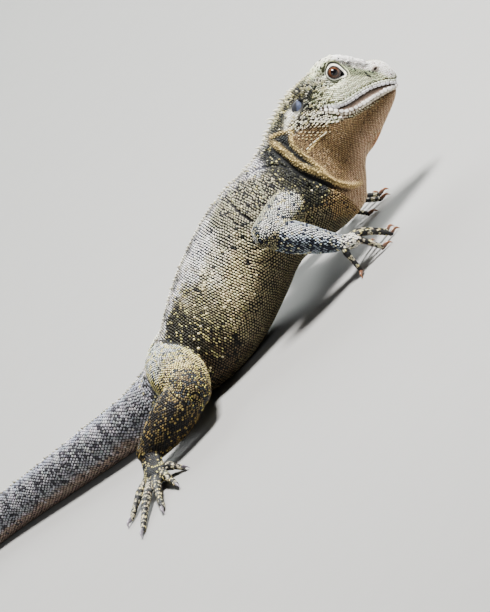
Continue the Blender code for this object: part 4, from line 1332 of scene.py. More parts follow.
def special_places(size, colour, t, down, draw):
    """Raises the spiny scales of temple and neck, and picks places for thorns and for round scales."""
    count = len(t)
    temple = window(t, 6.8, 10.4, 0.5) * window(down, 0.2, 0.45, 0.05)
    size *= 1 + np.outer(temple, (0.12, 0.12, 0.5))
    spiny = window(t, 8.2, 11.0, 0.4) * window(down, 0.06, 0.46, 0.05)
    size *= 1 + np.outer(spiny, (0.1, -0.10, 0.3))
    chosen = draw.random(count) < 0.06 * spiny
    size[chosen] *= (1.7, 1.3, 2.4)
    colour[chosen] = mix(colour[chosen], tone(216, 210, 176), 0.7)
    thorny = window(t, 7.6, 10.4, 0.4) * window(down, -1, 0.42, 0.05)
    thorny += window(t, 10, 14, 0.6) * window(down, -1, 0.16, 0.03)
    thorns = draw.random(count) < 0.035 * thorny
    large = window(t, 15.6, 20.6, 0.5) * window(down, 0.24, 0.56, 0.05)
    return thorns, draw.random(count) < 0.04 * large


def body_scales(name, here, seated, size, colour, draw):
    """Scales of trunk, throat and brows by piece: sizes, colours, which of them are there, and shape."""
    t, down, count = here["t"], 1 - np.abs(1 - 2 * here["round"]), len(size)
    kept = ~((t < HEAD_ENDS) & bare_places(seated["point"]))
    size_body(size, t, down)
    loose = 0.5 * window(t, 11.0, 15.0, 0.8) * window(down, 0, 0.66, 0.08)
    size *= 1 + loose[:, None] * 0.5 * draw.standard_normal((count, 3)).clip(-1.2, 1.6)
    for way in ("along", "across"):
        shift(seated, way, 0.2 * loose * here["wide"], draw)
    if "brow" in name:
        size[draw.random(count) < 0.16] *= (1.4, 1.2, 2.6)
    if name == "trunk":
        thorns, beads = special_places(size, colour, t, down, draw)
        thorns, beads = thorns & kept, beads & kept
        kept &= ~beads
    for group, first, last in BODY_GROUPS:
        part = kept & (t >= first) & (t < last)
        yield group, size, colour, part, SCALE
        if name == "trunk" and last < TORSO_ENDS:
            long = (1.1 + 0.9 * draw.random((count, 1))) * (0.62, 0.55, 1.0)
            pale = tone(228, 222, 196) * np.ones((count, 1))
            yield group, long, pale, part & thorns, spine_shape()
    if name == "trunk":
        wide = (1.55 + 0.6 * draw.random((count, 1))) * (1.0, 1.1, 0.36)
        yield "scales_torso", wide, mix(colour, tone(246, 232, 184), 0.55), beads, bead_shape(1.0, 0.62)


def scales_of(name, here, seated, draw):
    """Scales of one stretch by piece: sizes, colours, which of them are there, and shape."""
    lift = bpy.context.scene.dragon_scales.lift * METRE
    shares = SCALE_SIZES["digit" if "digit" in name else name.rsplit("_", 1)[0]]
    count = len(here["long"])
    length, width, high = here["long"] * shares[0], here["wide"] * shares[1], lift * shares[2]
    size = np.stack([length, width, np.full(count, high)], 1)
    size *= 1 + 0.10 * draw.standard_normal((count, 3))
    for way, step in (("along", 0.035), ("across", 0.06)):
        shift(seated, way, step * here["wide"], draw)
    swing = 0.12 * draw.standard_normal((count, 1))
    seated["along"], seated["across"] = (seated["along"] + swing * seated["across"],
                                         seated["across"] - swing * seated["along"])
    colour = here["colour"].copy()
    if name in ("trunk", "throat") or "brow" in name:
        yield from body_scales(name, here, seated, size, colour, draw)
    else:
        fore = name.startswith(("upper_arm", "forearm", "hand"))
        group = "scales_fore_limbs" if fore else "scales_hind_limbs"
        yield group, size, colour, np.ones(count, bool), SCALE


def make_scales(seat, material):
    """The common scales of the whole animal, in pieces by region."""
    rows = np.vstack([row for row, *_ in jaw_rows()])
    groups, taken = {}, [kd_tree(seat.nearest(rows)[0])]
    for name, at in coat_places().items():
        seated, keep = framed(at, seat, taken)
        here = {key: value[keep] for key, value in at.items() if key != "draw"}
        for group, *looks in scales_of(name, here, seated, at["draw"]):
            groups.setdefault(group, []).append((name, here, seated, *looks))
    nodes = {
        "scales_head": (("head", "lower_jaw"), "hide"),
        "scales_neck": (("neck",), "hide"),
        "scales_torso": (("torso",), "hide"),
        "scales_tail": (("tail_root", "tail_middle", "tail_whip", "tail_tip"), "hide"),
    }
    for group, kinds in (("fore", ("upper_arm", "forearm", "hand")), ("hind", ("thigh", "shank", "foot"))):
        nodes[f"scales_{group}_limbs"] = (tuple(f"{kind}_{side}" for kind in kinds for side in LIMBS), "limb")
    for group, members in groups.items():
        parts = []
        for number, (name, here, seated, size, colour, kept, shape) in enumerate(members):
            if not kept.any():
                continue
            at = {key: value[kept] for key, value in seated.items()}
            tint = tinted_by_folds(at["point"], colour[kept], 1.0) if "limbs" not in group else colour[kept]
            along = here["t"][kept] if name in ("trunk", "throat") else here["along_share"][kept]
            low, high = along.min(), along.max()
            patch = island(number, len(members), (along - low) / (high - low), here["round"][kept])
            parts.append(spread(shape, at, size[kept], tint, patch))
        coat_piece(group, parts, material, *nodes[group])


# Rows of plates along both lips: rise over the mouth line, length, height, bulge and colour.
LIP_ROWS = (
    (1.0, 2.7, 2.0, 0.36, (210, 208, 212)),
    (2.7, 2.0, 1.4, 0.20, (206, 210, 190)),
    (-1.4, 2.9, 2.3, 0.95, (220, 216, 210)),
    (-3.3, 2.1, 1.6, 0.60, (198, 188, 168)),
)
# Rows of plates from below the mouth's corner backwards over jaw and throat: the line on the view, spacing,
# length, height, bulge and colour.
JAW_ROWS = (
    (((140.4, 62.1), (134, 68.0), (127, 73.8)), 2.5, 2.1, 1.1, 0.5, (216, 214, 204)),
    (((142.0, 57.6), (135.7, 61.6), (130.5, 66.6), (127.3, 71.6)), 2.8, 2.4, 1.4, 0.7, (218, 213, 204)),
    (((137.5, 57.6), (130.3, 65.0), (126.6, 69.0), (121.3, 74.1), (116.1, 77.1)),
     2.6, 2.3, 1.2, 0.6, (222, 216, 196)),
    (((132.5, 59.0), (127.8, 63.7), (123.2, 67.8), (119.1, 71.6)), 2.4, 1.7, 0.85, 0.5, (220, 204, 166)),
    (((130.5, 56.4), (124.7, 61.8), (117.4, 69.7)), 2.4, 1.6, 0.8, 0.5, (216, 198, 156)),
    (((127.6, 57.0), (122.6, 61.8), (115.5, 68.4)), 2.4, 1.5, 0.75, 0.45, (214, 194, 146)),
    (((119.9, 61.3), (114.6, 67.0)), 2.4, 1.4, 0.7, 0.45, (208, 186, 134)),
    (((129.5, 57.6), (121.8, 59.0), (117.4, 59.3), (112, 59.0)), 2.7, 2.4, 0.8, 0.5, (226, 218, 190)),
)


def plates(seat, draw, point, along, size, colour, patch):
    """One row of plates seated on the skin, along their turned directions."""
    places, up, _ = seat.nearest(point)
    at = upright(places, up, along)
    size = size * (1 + 0.10 * draw.standard_normal(size.shape))
    tint = tone(*colour) * (1 + 0.13 * draw.standard_normal((len(point), 1)))
    return spread(bead_shape(), at, size, tint, patch)


def jaw_rows():
    """Each row of plates over the jaw, on both sides: its places, with its sizes and colour."""
    spots = np.vstack([coat_places()[name]["point"] for name in ("trunk", "throat")])
    spots = spots[spots[:, 0] > 105]
    left, view = turned_by(spots, -roll_share(spots[:, 0]))[:, 1] > 0, pictured(spots)
    for number, (line, spacing, *looks) in enumerate(JAW_ROWS):
        line = spline(np.array(line), np.linspace(0, len(line) - 1, 60))
        s = lengths(line)
        wanted = walked(line, s, np.arange(0.3 + 0.5 * spacing * (number % 2), s[-1], spacing))
        for side in (left, ~left):
            row = []
            for spot in wanted:
                far = np.linalg.norm(view[side] - spot, axis=1)
                near = np.argsort(far)[:4]
                weight = 1 / (far[near] + 0.1)
                row.append((spots[side][near] * weight[:, None]).sum(0) / weight.sum())
            yield np.array(row), *looks


def make_lips(seat, material):
    """The plates of the lips, which follow the mouth from corner to corner, and those of the jaw."""
    path = mouth_path()
    s = lengths(path)
    draw = np.random.default_rng(bpy.context.scene.dragon_scales.seed + 77)
    spin = np.array(head_roll(HEAD_ROLL).to_3x3()).T
    many = len(LIP_ROWS) + 2 * len(JAW_ROWS)
    parts = []
    for number, (offset, length, height, bulge, colour) in enumerate(LIP_ROWS):
        spots = np.arange(0.6 + length * 0.5 * (number % 2), s[-1] - 0.5, length)
        point = walked(path, s, spots)
        along = unit(walked(path, s, spots + 0.8) - point)
        ends = eased(np.minimum(spots, s[-1] - spots) / 10 + (0.35 if offset > 0 else 0.45))
        rise = np.array((0, 0, 1.0)) - along * along[:, 2:3]
        offsets = offset * (0.55 + 0.45 * ends) - (lower_lip(spots / s[-1]) if offset < 0 else 0)
        point = turned_by(point + rise * offsets[:, None], 1)
        size = np.tile((length * 1.0, height, bulge), (len(spots), 1)) * ends[:, None]
        patch = island(number, many, spots / s[-1], np.full(len(spots), 0.5))
        parts.append(plates(seat, draw, point, along @ spin, size, colour, patch))
    for number, (row, length, height, bulge, colour) in enumerate(jaw_rows(), len(LIP_ROWS)):
        share = np.linspace(0, 1, len(row))
        size = np.tile((length, height, bulge), (len(row), 1)) * (1 - 0.25 * share)[:, None]
        patch = island(number, many, share, np.full(len(row), 0.5))
        way = np.tile((0.985, 0.0, -0.17), (len(row), 1)) - 0.25 * np.gradient(row, axis=0)
        parts.append(plates(seat, draw, row, way, size, colour, patch))
    coat_piece("lip_plates", parts, material, ("head", "lower_jaw"), "hide")


def crest_size(x):
    """Height and spacing of the crest's spines at x of the straight animal."""
    xs, heights, gaps = np.array(CREST, float)[::-1].T
    return np.interp(x, xs, heights), np.interp(x, xs, gaps)


def make_crest(material):
    """The row of small spines along the ridge of the back."""
    rows = body_rows()
    tops = np.array([s[0] for s in (*SECTIONS, *tail_sections())][7:])
    numbers = np.arange(7, 7 + len(tops))
    draw = np.random.default_rng(bpy.context.scene.dragon_scales.seed + 5)
    taller = bpy.context.scene.dragon_crest.height
    parts, x = [], CREST[0][0]
    while x > CREST[-1][0]:
        height, spacing = crest_size(x)
        t = np.interp(x, tops[::-1], numbers[::-1])
        row, near, far = spline(rows, np.array((t, t - 0.2, t + 0.2)))
        top, back = row[0:3] + row[3:6], (far[0:3] + far[3:6]) - (near[0:3] + near[3:6])
        back = Vector(back).normalized()
        side = Vector(row[6:9]).normalized()
        up = back.cross(side)
        up = up if up.z > 0 else -up
        height *= taller * (1 + 0.42 * draw.standard_normal())
        height = max(0.4, height)
        spacing *= 0.8 + 0.5 * draw.random()
        root = Vector(top) - up * 0.9
        long = min(spacing * 0.50, 0.6 + height * 0.55)
        points = []
        for rise, share, sweep in (
            (0, 1, 0), (0.9, 0.92, 0), (0.9 + height * 0.45, 0.58, 0.16), (0.9 + height * 0.8, 0.3, 0.42)
        ):
            middle = root + up * rise + back * height * sweep
            for angle in np.radians(np.arange(6) * 60):
                c, s = math.cos(angle), math.sin(angle)
                points.append(middle + back * long * share * c + side * 0.48 * share * s)
        points.append(root + up * (0.9 + height) + back * height * 0.72)
        points, faces = outward_about(np.array([list(p) for p in points]), horn_faces(4, 6))
        # Painted shade low on each spine and a painted highlight near its top.
        shade = np.array([0.55] * 12 + [0.95] * 6 + [1.05] * 7)
        tint = mix(tone(176, 170, 150), tone(226, 222, 198), draw.random()) * shade[:, None]
        tint *= 0.9 + 0.2 * draw.random()
        patch = np.array((0.02 + 0.96 * (CREST[0][0] - x) / (CREST[0][0] - CREST[-1][0]), 0.5))
        spot = patch + (points[:, [0, 2]] - points[:, [0, 2]].mean(0)) * 0.0004
        parts.append((points, faces, tint, spot))
        x -= spacing
    nodes = ("head", "neck", "torso", "tail_root", "tail_middle")
    coat_piece("crest_spines", parts, material, nodes, "hide")


def outward_about(points, faces):
    """A small closed shape with its faces turned outwards."""
    return points, outward(points - points.mean(0), faces)[1]


def lid_directions(axis):
    """Forward and upward in the plane of the lids round an outward axis."""
    forward = Vector((0.707, 0, -0.707))
    forward = (forward - axis * forward.dot(axis)).normalized()
    upward = axis.cross(forward)
    return forward, upward if upward.z > 0 else -upward


def eye_frame(side):
    """Centre of one eye, and its outward, forward and upward directions."""
    turn = head_roll(HEAD_ROLL)
    axis = Vector((LID_AXIS.x, LID_AXIS.y * side, LID_AXIS.z))
    ways = [turn.to_3x3() @ way for way in (axis, *lid_directions(axis))]
    return turn @ Vector((EYE.x, EYE.y * side, EYE.z)), *ways


def make_eyes(material):
    """Both eyeballs, whose points know their distance from the pupil's middle."""
    for side, node in ((-1, "eye_right"), (1, "eye_left")):
        centre, axis, forward, upward = eye_frame(side)
        bpy.ops.object.select_all(action="DESELECT")
        bpy.ops.mesh.primitive_uv_sphere_add(segments=64, ring_count=40, radius=EYE_RADIUS * MM)
        ball = bpy.context.active_object
        ball.name = f"eyeball_{node[4:]}"
        points = points_of(ball)
        reach = np.hypot(points[:, 0], points[:, 1])
        bulge = np.where(points[:, 2] > 0, 0.55 * eased((3.6 - reach) / 2.6), 0)
        points[:, 2] += bulge
        basis = np.array((forward, upward, axis))
        set_points(ball, points @ basis + np.array(centre))
        note(ball, "ring", np.where(points[:, 2] > 0, reach, 9))
        smooth(ball)
        if side < 0:
            bpy.ops.object.mode_set(mode="EDIT")
            bpy.ops.mesh.select_all(action="SELECT")
            bpy.ops.mesh.normals_make_consistent(inside=False)
            bpy.ops.object.mode_set(mode="OBJECT")
        finished(ball, material, (node,), "eye")


# The eye's opening, seen from outside with the snout to the right: right and up from the pupil.
OPENING = ((6.1, -0.9), (3.9, 1.6), (1.4, 3.5), (-1.3, 3.6), (-3.3, 1.7), (-3.8, -0.5), (-2.7, -2.7),
           (-0.2, -3.8), (2.6, -3.1), (4.6, -2.0))
# Rings of the lids: how far outside the opening, height over the eyeball or the head, and colour.
LID_RINGS = (
    (-0.30, -0.60, (14, 16, 20)), (0.0, 0.10, (22, 26, 34)), (0.25, 0.40, (52, 58, 66)),
    (0.5, 0.68, (206, 206, 190)), (0.9, 0.85, (244, 242, 224)), (1.5, 0.78, (240, 238, 214)),
    (1.8, 0.40, (110, 114, 104)), (2.0, 0.04, (12, 15, 22)), (2.8, 0.04, (16, 20, 26)),
    (3.05, 0.36, (156, 164, 126)), (3.4, 0.34, (190, 194, 154)), (3.7, 0.05, (150, 158, 120)),
    (4.0, -0.60, (150, 158, 120)),
)
# How far the lids reach from the opening, and the lower lid's share of that.
LID_REACH, LOWER_LID = 4.0, 0.46


def opening_edge():
    """Points close together round the eye's opening."""
    loop = np.array(OPENING)
    closed = np.vstack([loop[-1:], loop, loop[:2]])
    return spline(closed, 1 + np.linspace(0, len(loop), 72, endpoint=False))


def make_lids(seat, material):
    """Both lids of each eye as rolls of hide round its opening."""
    edge = opening_edge()
    tangent = np.gradient(np.vstack([edge[-1:], edge, edge[:1]]), axis=0)[1:-1]
    outward_way = np.stack([tangent[:, 1], -tangent[:, 0]], 1)
    outward_way = unit(outward_way * np.sign((outward_way * (edge - edge.mean(0))).sum(1))[:, None])
    many = len(edge)
    parts, tints = [], []
    for side in (-1, 1):
        centre, axis, forward, upward = (np.array(v) for v in eye_frame(side))
        rings, colours = [], []
        for out, height, colour in LID_RINGS:
            lobe = eased((edge @ np.array((0.5, 0.866)) + 1.5) / 4.5)[:, None]
            thin = LOWER_LID + (1 - LOWER_LID) * lobe
            flat = edge + outward_way * (out * (thin if out > 0 else 1))
            reach = np.linalg.norm(flat, axis=1)
            dome = np.sqrt((EYE_RADIUS + 0.1) ** 2 - np.minimum(reach, 4.2) ** 2)
            dome -= np.maximum(reach - 4.2, 0) * 0.5
            spots = centre + flat[:, :1] * forward + flat[:, 1:] * upward
            level = dome + height * 0.8
            for j, spot in enumerate(spots):
                hit = seat.tree.ray_cast(Vector(spot + axis * 14), Vector(-axis))[0]
                if hit is not None:
                    rest = (np.array(hit) - spot) @ axis + height * 0.6
                    level[j] = rest - 0.2 if out > 3.9 else max(level[j], rest)
            rings.append(spots + level[:, None] * axis)
            plain = tone(150, 154, 144) if 0.4 < out < 1.7 or out > 2.9 else tone(*colour)
            colours.append(mix(plain * np.ones((many, 1)), tone(*colour), 0.30 + 0.70 * lobe[:, 0]))
        rings = np.array(rings)
        loops = np.concatenate([rings, rings[::-1] - axis * 0.9])
        faces = bands(len(loops) + 1, many) % (len(loops) * many)
        parts.append(outward_about(loops.reshape(-1, 3), faces))
        tints.append(np.vstack([*colours, *colours[::-1]]))
    lids = new_object("eyelids", *joined(parts))
    paint(lids, np.vstack(tints))
    apply_modifier(lids, "SUBSURF", levels=1, render_levels=1)
    smooth(lids)
    finished(lids, material, ("head",), "hide")


def make_ear_drums(material):
    """The shallow disc of skin in each ear opening, with the painted shadow of the rim over its upper rear.
    """
    tree = core_tree()
    parts, shades = [], []
    for side in (-1, 1):
        at = on_side(tree, EAR.x, EAR.z, side)
        radii = (EAR_RADII[0] * 0.98, 0.7, EAR_RADII[2] * 0.98)
        disc = ball_rows((at.x, at.y - side * 1.75, at.z), radii, EAR_TILT)
        points, faces = loft(disc, 40)
        # Painted shadow of the opening's rim, darkest over the drum's upper rear.
        rim_shadow = eased((at.x - 0.4 - points[:, 0] + 0.9 * (points[:, 2] - at.z)) / 2.0 + 0.5)
        shades.append(mix(np.ones((len(points), 3)), np.full(3, 0.05), rim_shadow))
        parts.append(turned((points, faces)))
    drums = new_object("ear_drums", *joined(parts))
    paint(drums, np.vstack(shades))
    smooth(drums)
    finished(drums, material, ("head",), "hide")


def make_claws(kind, material):
    """The curved claws of all fingers or of all toes."""
    parts, shares = [], []
    for path, sizes in claws_of(kind):
        rows = tube_rows(path, [r * 0.8 for r in sizes], 1.4, steps=5, rounded=(False, True))
        points, faces = loft(rows, 12)
        parts.append((points, faces))
        rings = np.repeat(np.linspace(0, 1, len(rows)), 12)
        shares.append(np.concatenate([rings, (0, 1)]))
    claws = new_object(f"claws_{kind}", *joined(parts))
    note(claws, "along", np.concatenate(shares))
    points = points_of(claws)
    points[:, 2] = np.maximum(points[:, 2], 0.0)
    set_points(claws, points)
    smooth(claws)
    finished(claws, material, (f"{kind}_left", f"{kind}_right"), "limb")


def plain_finish(name, roughness):
    """A new finish: its node tree, its shader and a maker of further nodes."""
    material = bpy.data.materials.new(name)
    material.use_nodes = True
    tree = material.node_tree
    shader = tree.nodes["Principled BSDF"]
    shader.inputs["Roughness"].default_value = roughness

    def node(kind, **settings):
        made = tree.nodes.new(f"ShaderNode{kind}")
        for key, value in settings.items():
            if key in made.inputs:
                made.inputs[key].default_value = value
            else:
                setattr(made, key, value)
        return made

    return material, tree.links.new, shader, node


def ramp_of(node, stops):
    """A colour ramp with these places and colours."""
    ramp = node("ValToRGB")
    elements = ramp.color_ramp.elements
    while len(elements) < len(stops):
        elements.new(0.5)
    for element, (place, colour) in zip(elements, stops):
        element.position = place
        element.color = (*colour, 1)
    return ramp


def mottled(node, link, stops, **settings):
    """A colour ramp over fine noise on the piece's own coordinates, and the noise."""
    place, mottle, ramp = node("TexCoord"), node("TexNoise", **settings), ramp_of(node, stops)
    link(place.outputs["Object"], mottle.inputs["Vector"])
    link(mottle.outputs["Fac"], ramp.inputs["Fac"])
    return ramp.outputs["Color"], mottle.outputs["Fac"]


def multiply(node, link, first, second, share, target):
    """Sends one colour times another to a socket."""
    blend = node("Mix", data_type="RGBA", blend_type="MULTIPLY")
    blend.inputs["Factor"].default_value = share
    link(first, blend.inputs["A"])
    link(second, blend.inputs["B"])
    link(blend.outputs["Result"], target)


def hide_finish(name, roughness, cells, depth, gloss):
    """Hide that takes its colour from its points' colours, markings and painted light and shade alike, with
    fine grain and shallow cells.
    """
    material, link, shader, node = plain_finish(name, roughness)
    shader.inputs["Specular IOR Level"].default_value = gloss
    marking = node("Attribute", attribute_name="marking")
    stops = ((0.25, (0.66, 0.66, 0.68)), (0.75, (1.22, 1.20, 1.16)))
    shade, mottle = mottled(node, link, stops, Scale=1400.0, Detail=4.0, Roughness=0.6)
    multiply(node, link, marking.outputs["Color"], shade, 0.8, shader.inputs["Base Color"])
    place, cell = node("TexCoord"), node("TexVoronoi", Scale=cells)
    link(place.outputs["Object"], cell.inputs["Vector"])
    bump = node("Bump", Strength=depth, Distance=0.0003)
    bump.invert = True
    link(cell.outputs["Distance"], bump.inputs["Height"])
    link(bump.outputs["Normal"], shader.inputs["Normal"])
    rough = node("MapRange", **{"To Min": roughness - 0.1, "To Max": roughness + 0.12})
    link(mottle, rough.inputs["Value"])
    link(rough.outputs["Result"], shader.inputs["Roughness"])
    return material


def eye_finish():
    """A wet eye: round black pupil, red-brown iris with fine rays, dark rim."""
    head = bpy.context.scene.dragon_head
    material, link, shader, node = plain_finish("wet_eye", 0.08)
    shader.inputs["Specular IOR Level"].default_value = 0.2
    shader.inputs["Coat Weight"].default_value = 0.4
    shader.inputs["Coat Roughness"].default_value = 0.03
    ring = node("Attribute", attribute_name="ring")
    share = node("MapRange", **{"From Min": 0.0, "From Max": EYE_RADIUS})
    link(ring.outputs["Fac"], share.inputs["Value"])
    pupil, iris = head.pupil * METRE / EYE_RADIUS, np.array(head.iris_colour)
    ramp = ramp_of(node, (
        (0.0, (0.002, 0.002, 0.003)), (pupil, (0.004, 0.003, 0.003)), (pupil + 0.02, iris * 1.9),
        (pupil + 0.10, iris * 1.1), (0.56, iris * 0.8), (0.64, (0.02, 0.01, 0.008)),
        (0.8, (0.012, 0.010, 0.012))))
    link(share.outputs["Result"], ramp.inputs["Fac"])
    stops = ((0.3, (0.55, 0.5, 0.5)), (0.7, (1.35, 1.3, 1.2)))
    rays, _ = mottled(node, link, stops, Scale=1800.0, Detail=3.0)
    multiply(node, link, ramp.outputs["Color"], rays, 0.8, shader.inputs["Base Color"])
    return material


def horn_finish(name, root, tip):
    """Horn that runs from one colour at the root to another at the tip, with fine grain."""
    material, link, shader, node = plain_finish(name, 0.3)
    along = node("Attribute", attribute_name="along")
    ramp = ramp_of(node, ((0.1, root), (0.55, (np.array(root) + tip) / 2), (1.0, tip)))
    link(along.outputs["Fac"], ramp.inputs["Fac"])
    stops = ((0.3, (0.6, 0.6, 0.6)), (0.7, (1.3, 1.25, 1.2)))
    grains, _ = mottled(node, link, stops, Scale=900.0, Detail=3.0)
    multiply(node, link, ramp.outputs["Color"], grains, 0.7, shader.inputs["Base Color"])
    return material


def drum_finish():
    """The ear drum: blue-grey skin, darker in patches, times the colours of its points, which hold the
    painted shadow of the rim.
    """
    material, link, shader, node = plain_finish("ear_drum", 0.6)
    stops = ((0.3, tone(56, 64, 86)), (0.65, tone(98, 108, 138)))
    cloud, _ = mottled(node, link, stops, Scale=420.0, Detail=2.0)
    marking = node("Attribute", attribute_name="marking")
    multiply(node, link, cloud, marking.outputs["Color"], 1.0, shader.inputs["Base Color"])
    return material


class DragonScales(bpy.types.PropertyGroup):
    flank_pitch: FloatProperty(name="Flank pitch", description="Width of a scale's place on the flank",
                               default=0.0019, min=0.001, max=0.006, unit="LENGTH")
    head_pitch: FloatProperty(name="Head pitch", description="Width of a scale's place on the head",
                              default=0.0012, min=0.0008, max=0.004, unit="LENGTH")
    throat_pitch: FloatProperty(name="Throat pitch", description="Width of a granule's place on the throat",
                                default=0.00105, min=0.0006, max=0.004, unit="LENGTH")
    limb_pitch: FloatProperty(name="Limb pitch", description="Width of a scale's place on arms and legs",
                              default=0.0017, min=0.001, max=0.005, unit="LENGTH")
    digit_pitch: FloatProperty(name="Digit pitch", description="Width of a scale's place on a finger or toe",
                               default=0.0015, min=0.0006, max=0.003, unit="LENGTH")
    lift: FloatProperty(name="Lift", description="How far a flank scale's keel stands over the skin",
                        default=0.00048, min=0.0001, max=0.002, unit="LENGTH")
    seed: IntProperty(name="Seed", description="Seed of all that varies from scale to scale", default=31)


class DragonHead(bpy.types.PropertyGroup):
    skin_grain: FloatProperty(name="Skin grain", description="Size of the skin's faces when it is joined",
                              default=0.00075, min=0.0003, max=0.002, unit="LENGTH")
    mouth_gap: FloatProperty(name="Mouth gap", description="Widest gap between the lips",
                             default=0.0013, min=0.0002, max=0.003, unit="LENGTH")
    pupil: FloatProperty(name="Pupil", description="Radius of the pupil",
                         default=0.0021, min=0.0005, max=0.003, unit="LENGTH")
    iris_colour: FloatVectorProperty(name="Iris", description="Colour of the iris", subtype="COLOR",
                                     default=(0.05, 0.021, 0.010), min=0, max=1)


class DragonCrest(bpy.types.PropertyGroup):
    height: FloatProperty(name="Height", description="Height of the spines against the usual",
                          default=1.0, min=0.2, max=3.0)


class DragonStage(bpy.types.PropertyGroup):
    floor_colour: FloatVectorProperty(name="Floor", description="Colour of the floor", subtype="COLOR",
                                      default=(0.22, 0.217, 0.21), min=0, max=1)
    light_power: FloatProperty(name="Light", description="Power of the light from above",
                               default=185.0, min=0, unit="POWER")


class DRAGON_OT_skin(bpy.types.Operator):
    """One skin over all the flesh"""
    bl_idname = "dragon.skin"
    bl_label = "Skin"

    def execute(self, context):
        skin = make_skin()
        paint(skin, surface_colours(skin))
        flesh = [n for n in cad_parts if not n.startswith("eye_")]
        finished(skin, hide_finish("skin_between_scales", 0.7, 620.0, 0.5, 0.15), flesh, "hide")
        return {"FINISHED"}


class DRAGON_OT_scales(bpy.types.Operator):
    """The common scales of head, body, tail and limbs"""
    bl_idname = "dragon.scales"
    bl_label = "Scales"

    def execute(self, context):
        material = hide_finish("scales", 0.52, 1500.0, 0.15, 0.2)
        make_scales(Seat(bpy.data.objects["skin"]), material)
        return {"FINISHED"}


class DRAGON_OT_lips(bpy.types.Operator):
    """The plates of the lips"""
    bl_idname = "dragon.lips"
    bl_label = "Lip plates"

    def execute(self, context):
        make_lips(Seat(bpy.data.objects["skin"]), hide_finish("lip_plates", 0.42, 900.0, 0.12, 0.5))
        return {"FINISHED"}


class DRAGON_OT_crest(bpy.types.Operator):
    """The crest of spines along the back"""
    bl_idname = "dragon.crest"
    bl_label = "Crest"

    def execute(self, context):
        make_crest(hide_finish("spines", 0.5, 1200.0, 0.1, 0.4))
        return {"FINISHED"}


class DRAGON_OT_eyes(bpy.types.Operator):
    """Both eyeballs and their lids"""
    bl_idname = "dragon.eyes"
    bl_label = "Eyes"

    def execute(self, context):
        make_eyes(eye_finish())
        make_lids(Seat(bpy.data.objects["skin"]), hide_finish("lid_skin", 0.5, 1500.0, 0.2, 0.4))
        return {"FINISHED"}


class DRAGON_OT_ears(bpy.types.Operator):
    """The ear drums"""
    bl_idname = "dragon.ears"
    bl_label = "Ear drums"

    def execute(self, context):
        make_ear_drums(drum_finish())
        return {"FINISHED"}


class DRAGON_OT_claws(bpy.types.Operator):
    """The claws of hands and feet"""
    bl_idname = "dragon.claws"
    bl_label = "Claws"

    def execute(self, context):
        make_claws("hand", horn_finish("hand_claws", tone(70, 50, 40), tone(150, 96, 62)))
        make_claws("foot", horn_finish("foot_claws", tone(70, 66, 74), tone(150, 142, 156)))
        return {"FINISHED"}


# The lights: place, what each is turned to, size, share of the power, and colour.
LIGHTS = (
    ("light_above", (0.75, -0.12, 1.6), (0.03, 0, 0.03), 0.45, 1.0, (1.0, 0.985, 0.96)),
    ("light_side", (-0.9, -1.7, 0.9), (0.03, 0, 0.03), 0.5, 0.05, (0.93, 0.96, 1.0)),
    ("light_back", (0.2, 1.6, 1.0), (0.0, 0, 0.05), 1.0, 0.30, (0.95, 1.0, 0.98)),
)
# The camera looks from the animal's right and is turned about its line of sight.
CAMERA_RISE, CAMERA_ROLL = math.radians(15), math.radians(-45)
CAMERA_TARGET, CAMERA_FAR, CAMERA_LENS = (0.025, 0, 0.0212), 3.0, 303.8


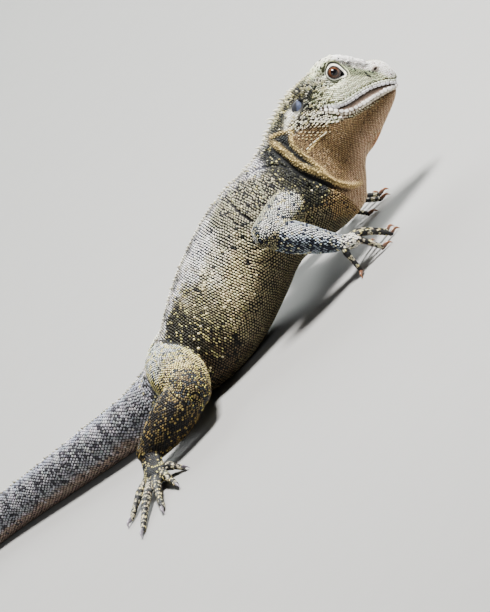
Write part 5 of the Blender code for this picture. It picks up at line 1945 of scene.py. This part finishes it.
class DRAGON_OT_stage(bpy.types.Operator):
    """The floor, the lights and the camera"""
    bl_idname = "dragon.stage"
    bl_label = "Stage"

    def execute(self, context):
        settings = context.scene.dragon_stage
        bpy.ops.object.select_all(action="DESELECT")
        bpy.ops.mesh.primitive_plane_add(size=14.0, location=(0, 2.0, 0))
        floor = context.active_object
        floor.name = "floor"
        material, link, shader, node = plain_finish("floor_paper", 0.8)
        colour = np.array(settings.floor_colour)
        paper, _ = mottled(node, link, ((0.0, colour * 0.97), (1.0, colour * 1.02)), Scale=40.0, Detail=2.0)
        link(paper, shader.inputs["Base Color"])
        floor.data.materials.append(material)
        floor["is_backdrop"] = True
        for name, at, target, size, share, warmth in LIGHTS:
            lamp = bpy.data.lights.new(name, "AREA")
            lamp.size, lamp.energy, lamp.color = size, settings.light_power * share, warmth
            light = bpy.data.objects.new(name, lamp)
            context.scene.collection.objects.link(light)
            way = Vector(target) - Vector(at)
            light.matrix_world = Matrix.Translation(at) @ way.to_track_quat("-Z", "Y").to_matrix().to_4x4()
        world = bpy.data.worlds.new("studio")
        world.use_nodes = True
        world.node_tree.nodes["Background"].inputs["Color"].default_value = (0.86, 0.9, 0.92, 1)
        world.node_tree.nodes["Background"].inputs["Strength"].default_value = 0.12
        context.scene.world = world
        lens = bpy.data.cameras.new("camera")
        lens.sensor_fit, lens.sensor_height, lens.lens = "VERTICAL", 36.0, CAMERA_LENS
        camera = bpy.data.objects.new("camera", lens)
        context.scene.collection.objects.link(camera)
        back = Vector((0, -math.cos(CAMERA_RISE), math.sin(CAMERA_RISE)))
        matrix = back.to_track_quat("Z", "Y").to_matrix().to_4x4() @ Matrix.Rotation(CAMERA_ROLL, 4, "Z")
        matrix.translation = Vector(CAMERA_TARGET) + back * CAMERA_FAR
        camera.matrix_world = matrix
        context.scene.camera = camera
        return {"FINISHED"}


class DRAGON_PT_sidebar(bpy.types.Panel):
    """Makes the water dragon piece by piece"""
    bl_idname = "DRAGON_PT_sidebar"
    bl_label = "Water dragon"
    bl_space_type = "VIEW_3D"
    bl_region_type = "UI"
    bl_category = "Dragon"

    def draw(self, context):
        for operator in OPERATORS:
            self.layout.operator(operator.bl_idname)
        for key in GROUPS:
            box = self.layout.box()
            group = getattr(context.scene, key)
            for name in group.__annotations__:
                box.prop(group, name)


OPERATORS = (DRAGON_OT_skin, DRAGON_OT_scales, DRAGON_OT_lips, DRAGON_OT_crest, DRAGON_OT_eyes,
             DRAGON_OT_ears, DRAGON_OT_claws, DRAGON_OT_stage)
GROUPS = {"dragon_scales": DragonScales, "dragon_head": DragonHead, "dragon_crest": DragonCrest,
          "dragon_stage": DragonStage}


def register():
    for made in (*GROUPS.values(), *OPERATORS, DRAGON_PT_sidebar):
        bpy.utils.register_class(made)
    for key, group in GROUPS.items():
        setattr(bpy.types.Scene, key, PointerProperty(type=group))


def unregister():
    for key in GROUPS:
        delattr(bpy.types.Scene, key)
    for made in (DRAGON_PT_sidebar, *reversed(OPERATORS), *reversed(GROUPS.values())):
        bpy.utils.unregister_class(made)


def main():
    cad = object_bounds()
    register()
    bpy.ops.dragon.skin()
    bpy.ops.dragon.scales()
    bpy.ops.dragon.lips()
    bpy.ops.dragon.crest()
    bpy.ops.dragon.eyes()
    bpy.ops.dragon.ears()
    bpy.ops.dragon.claws()
    bpy.ops.dragon.stage()
    boxes = {"cad": cad, "visual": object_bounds()}
    plain = {key: [[float(v) for v in corner] for corner in box] for key, box in boxes.items()}


if __name__ == "__main__":
    main()
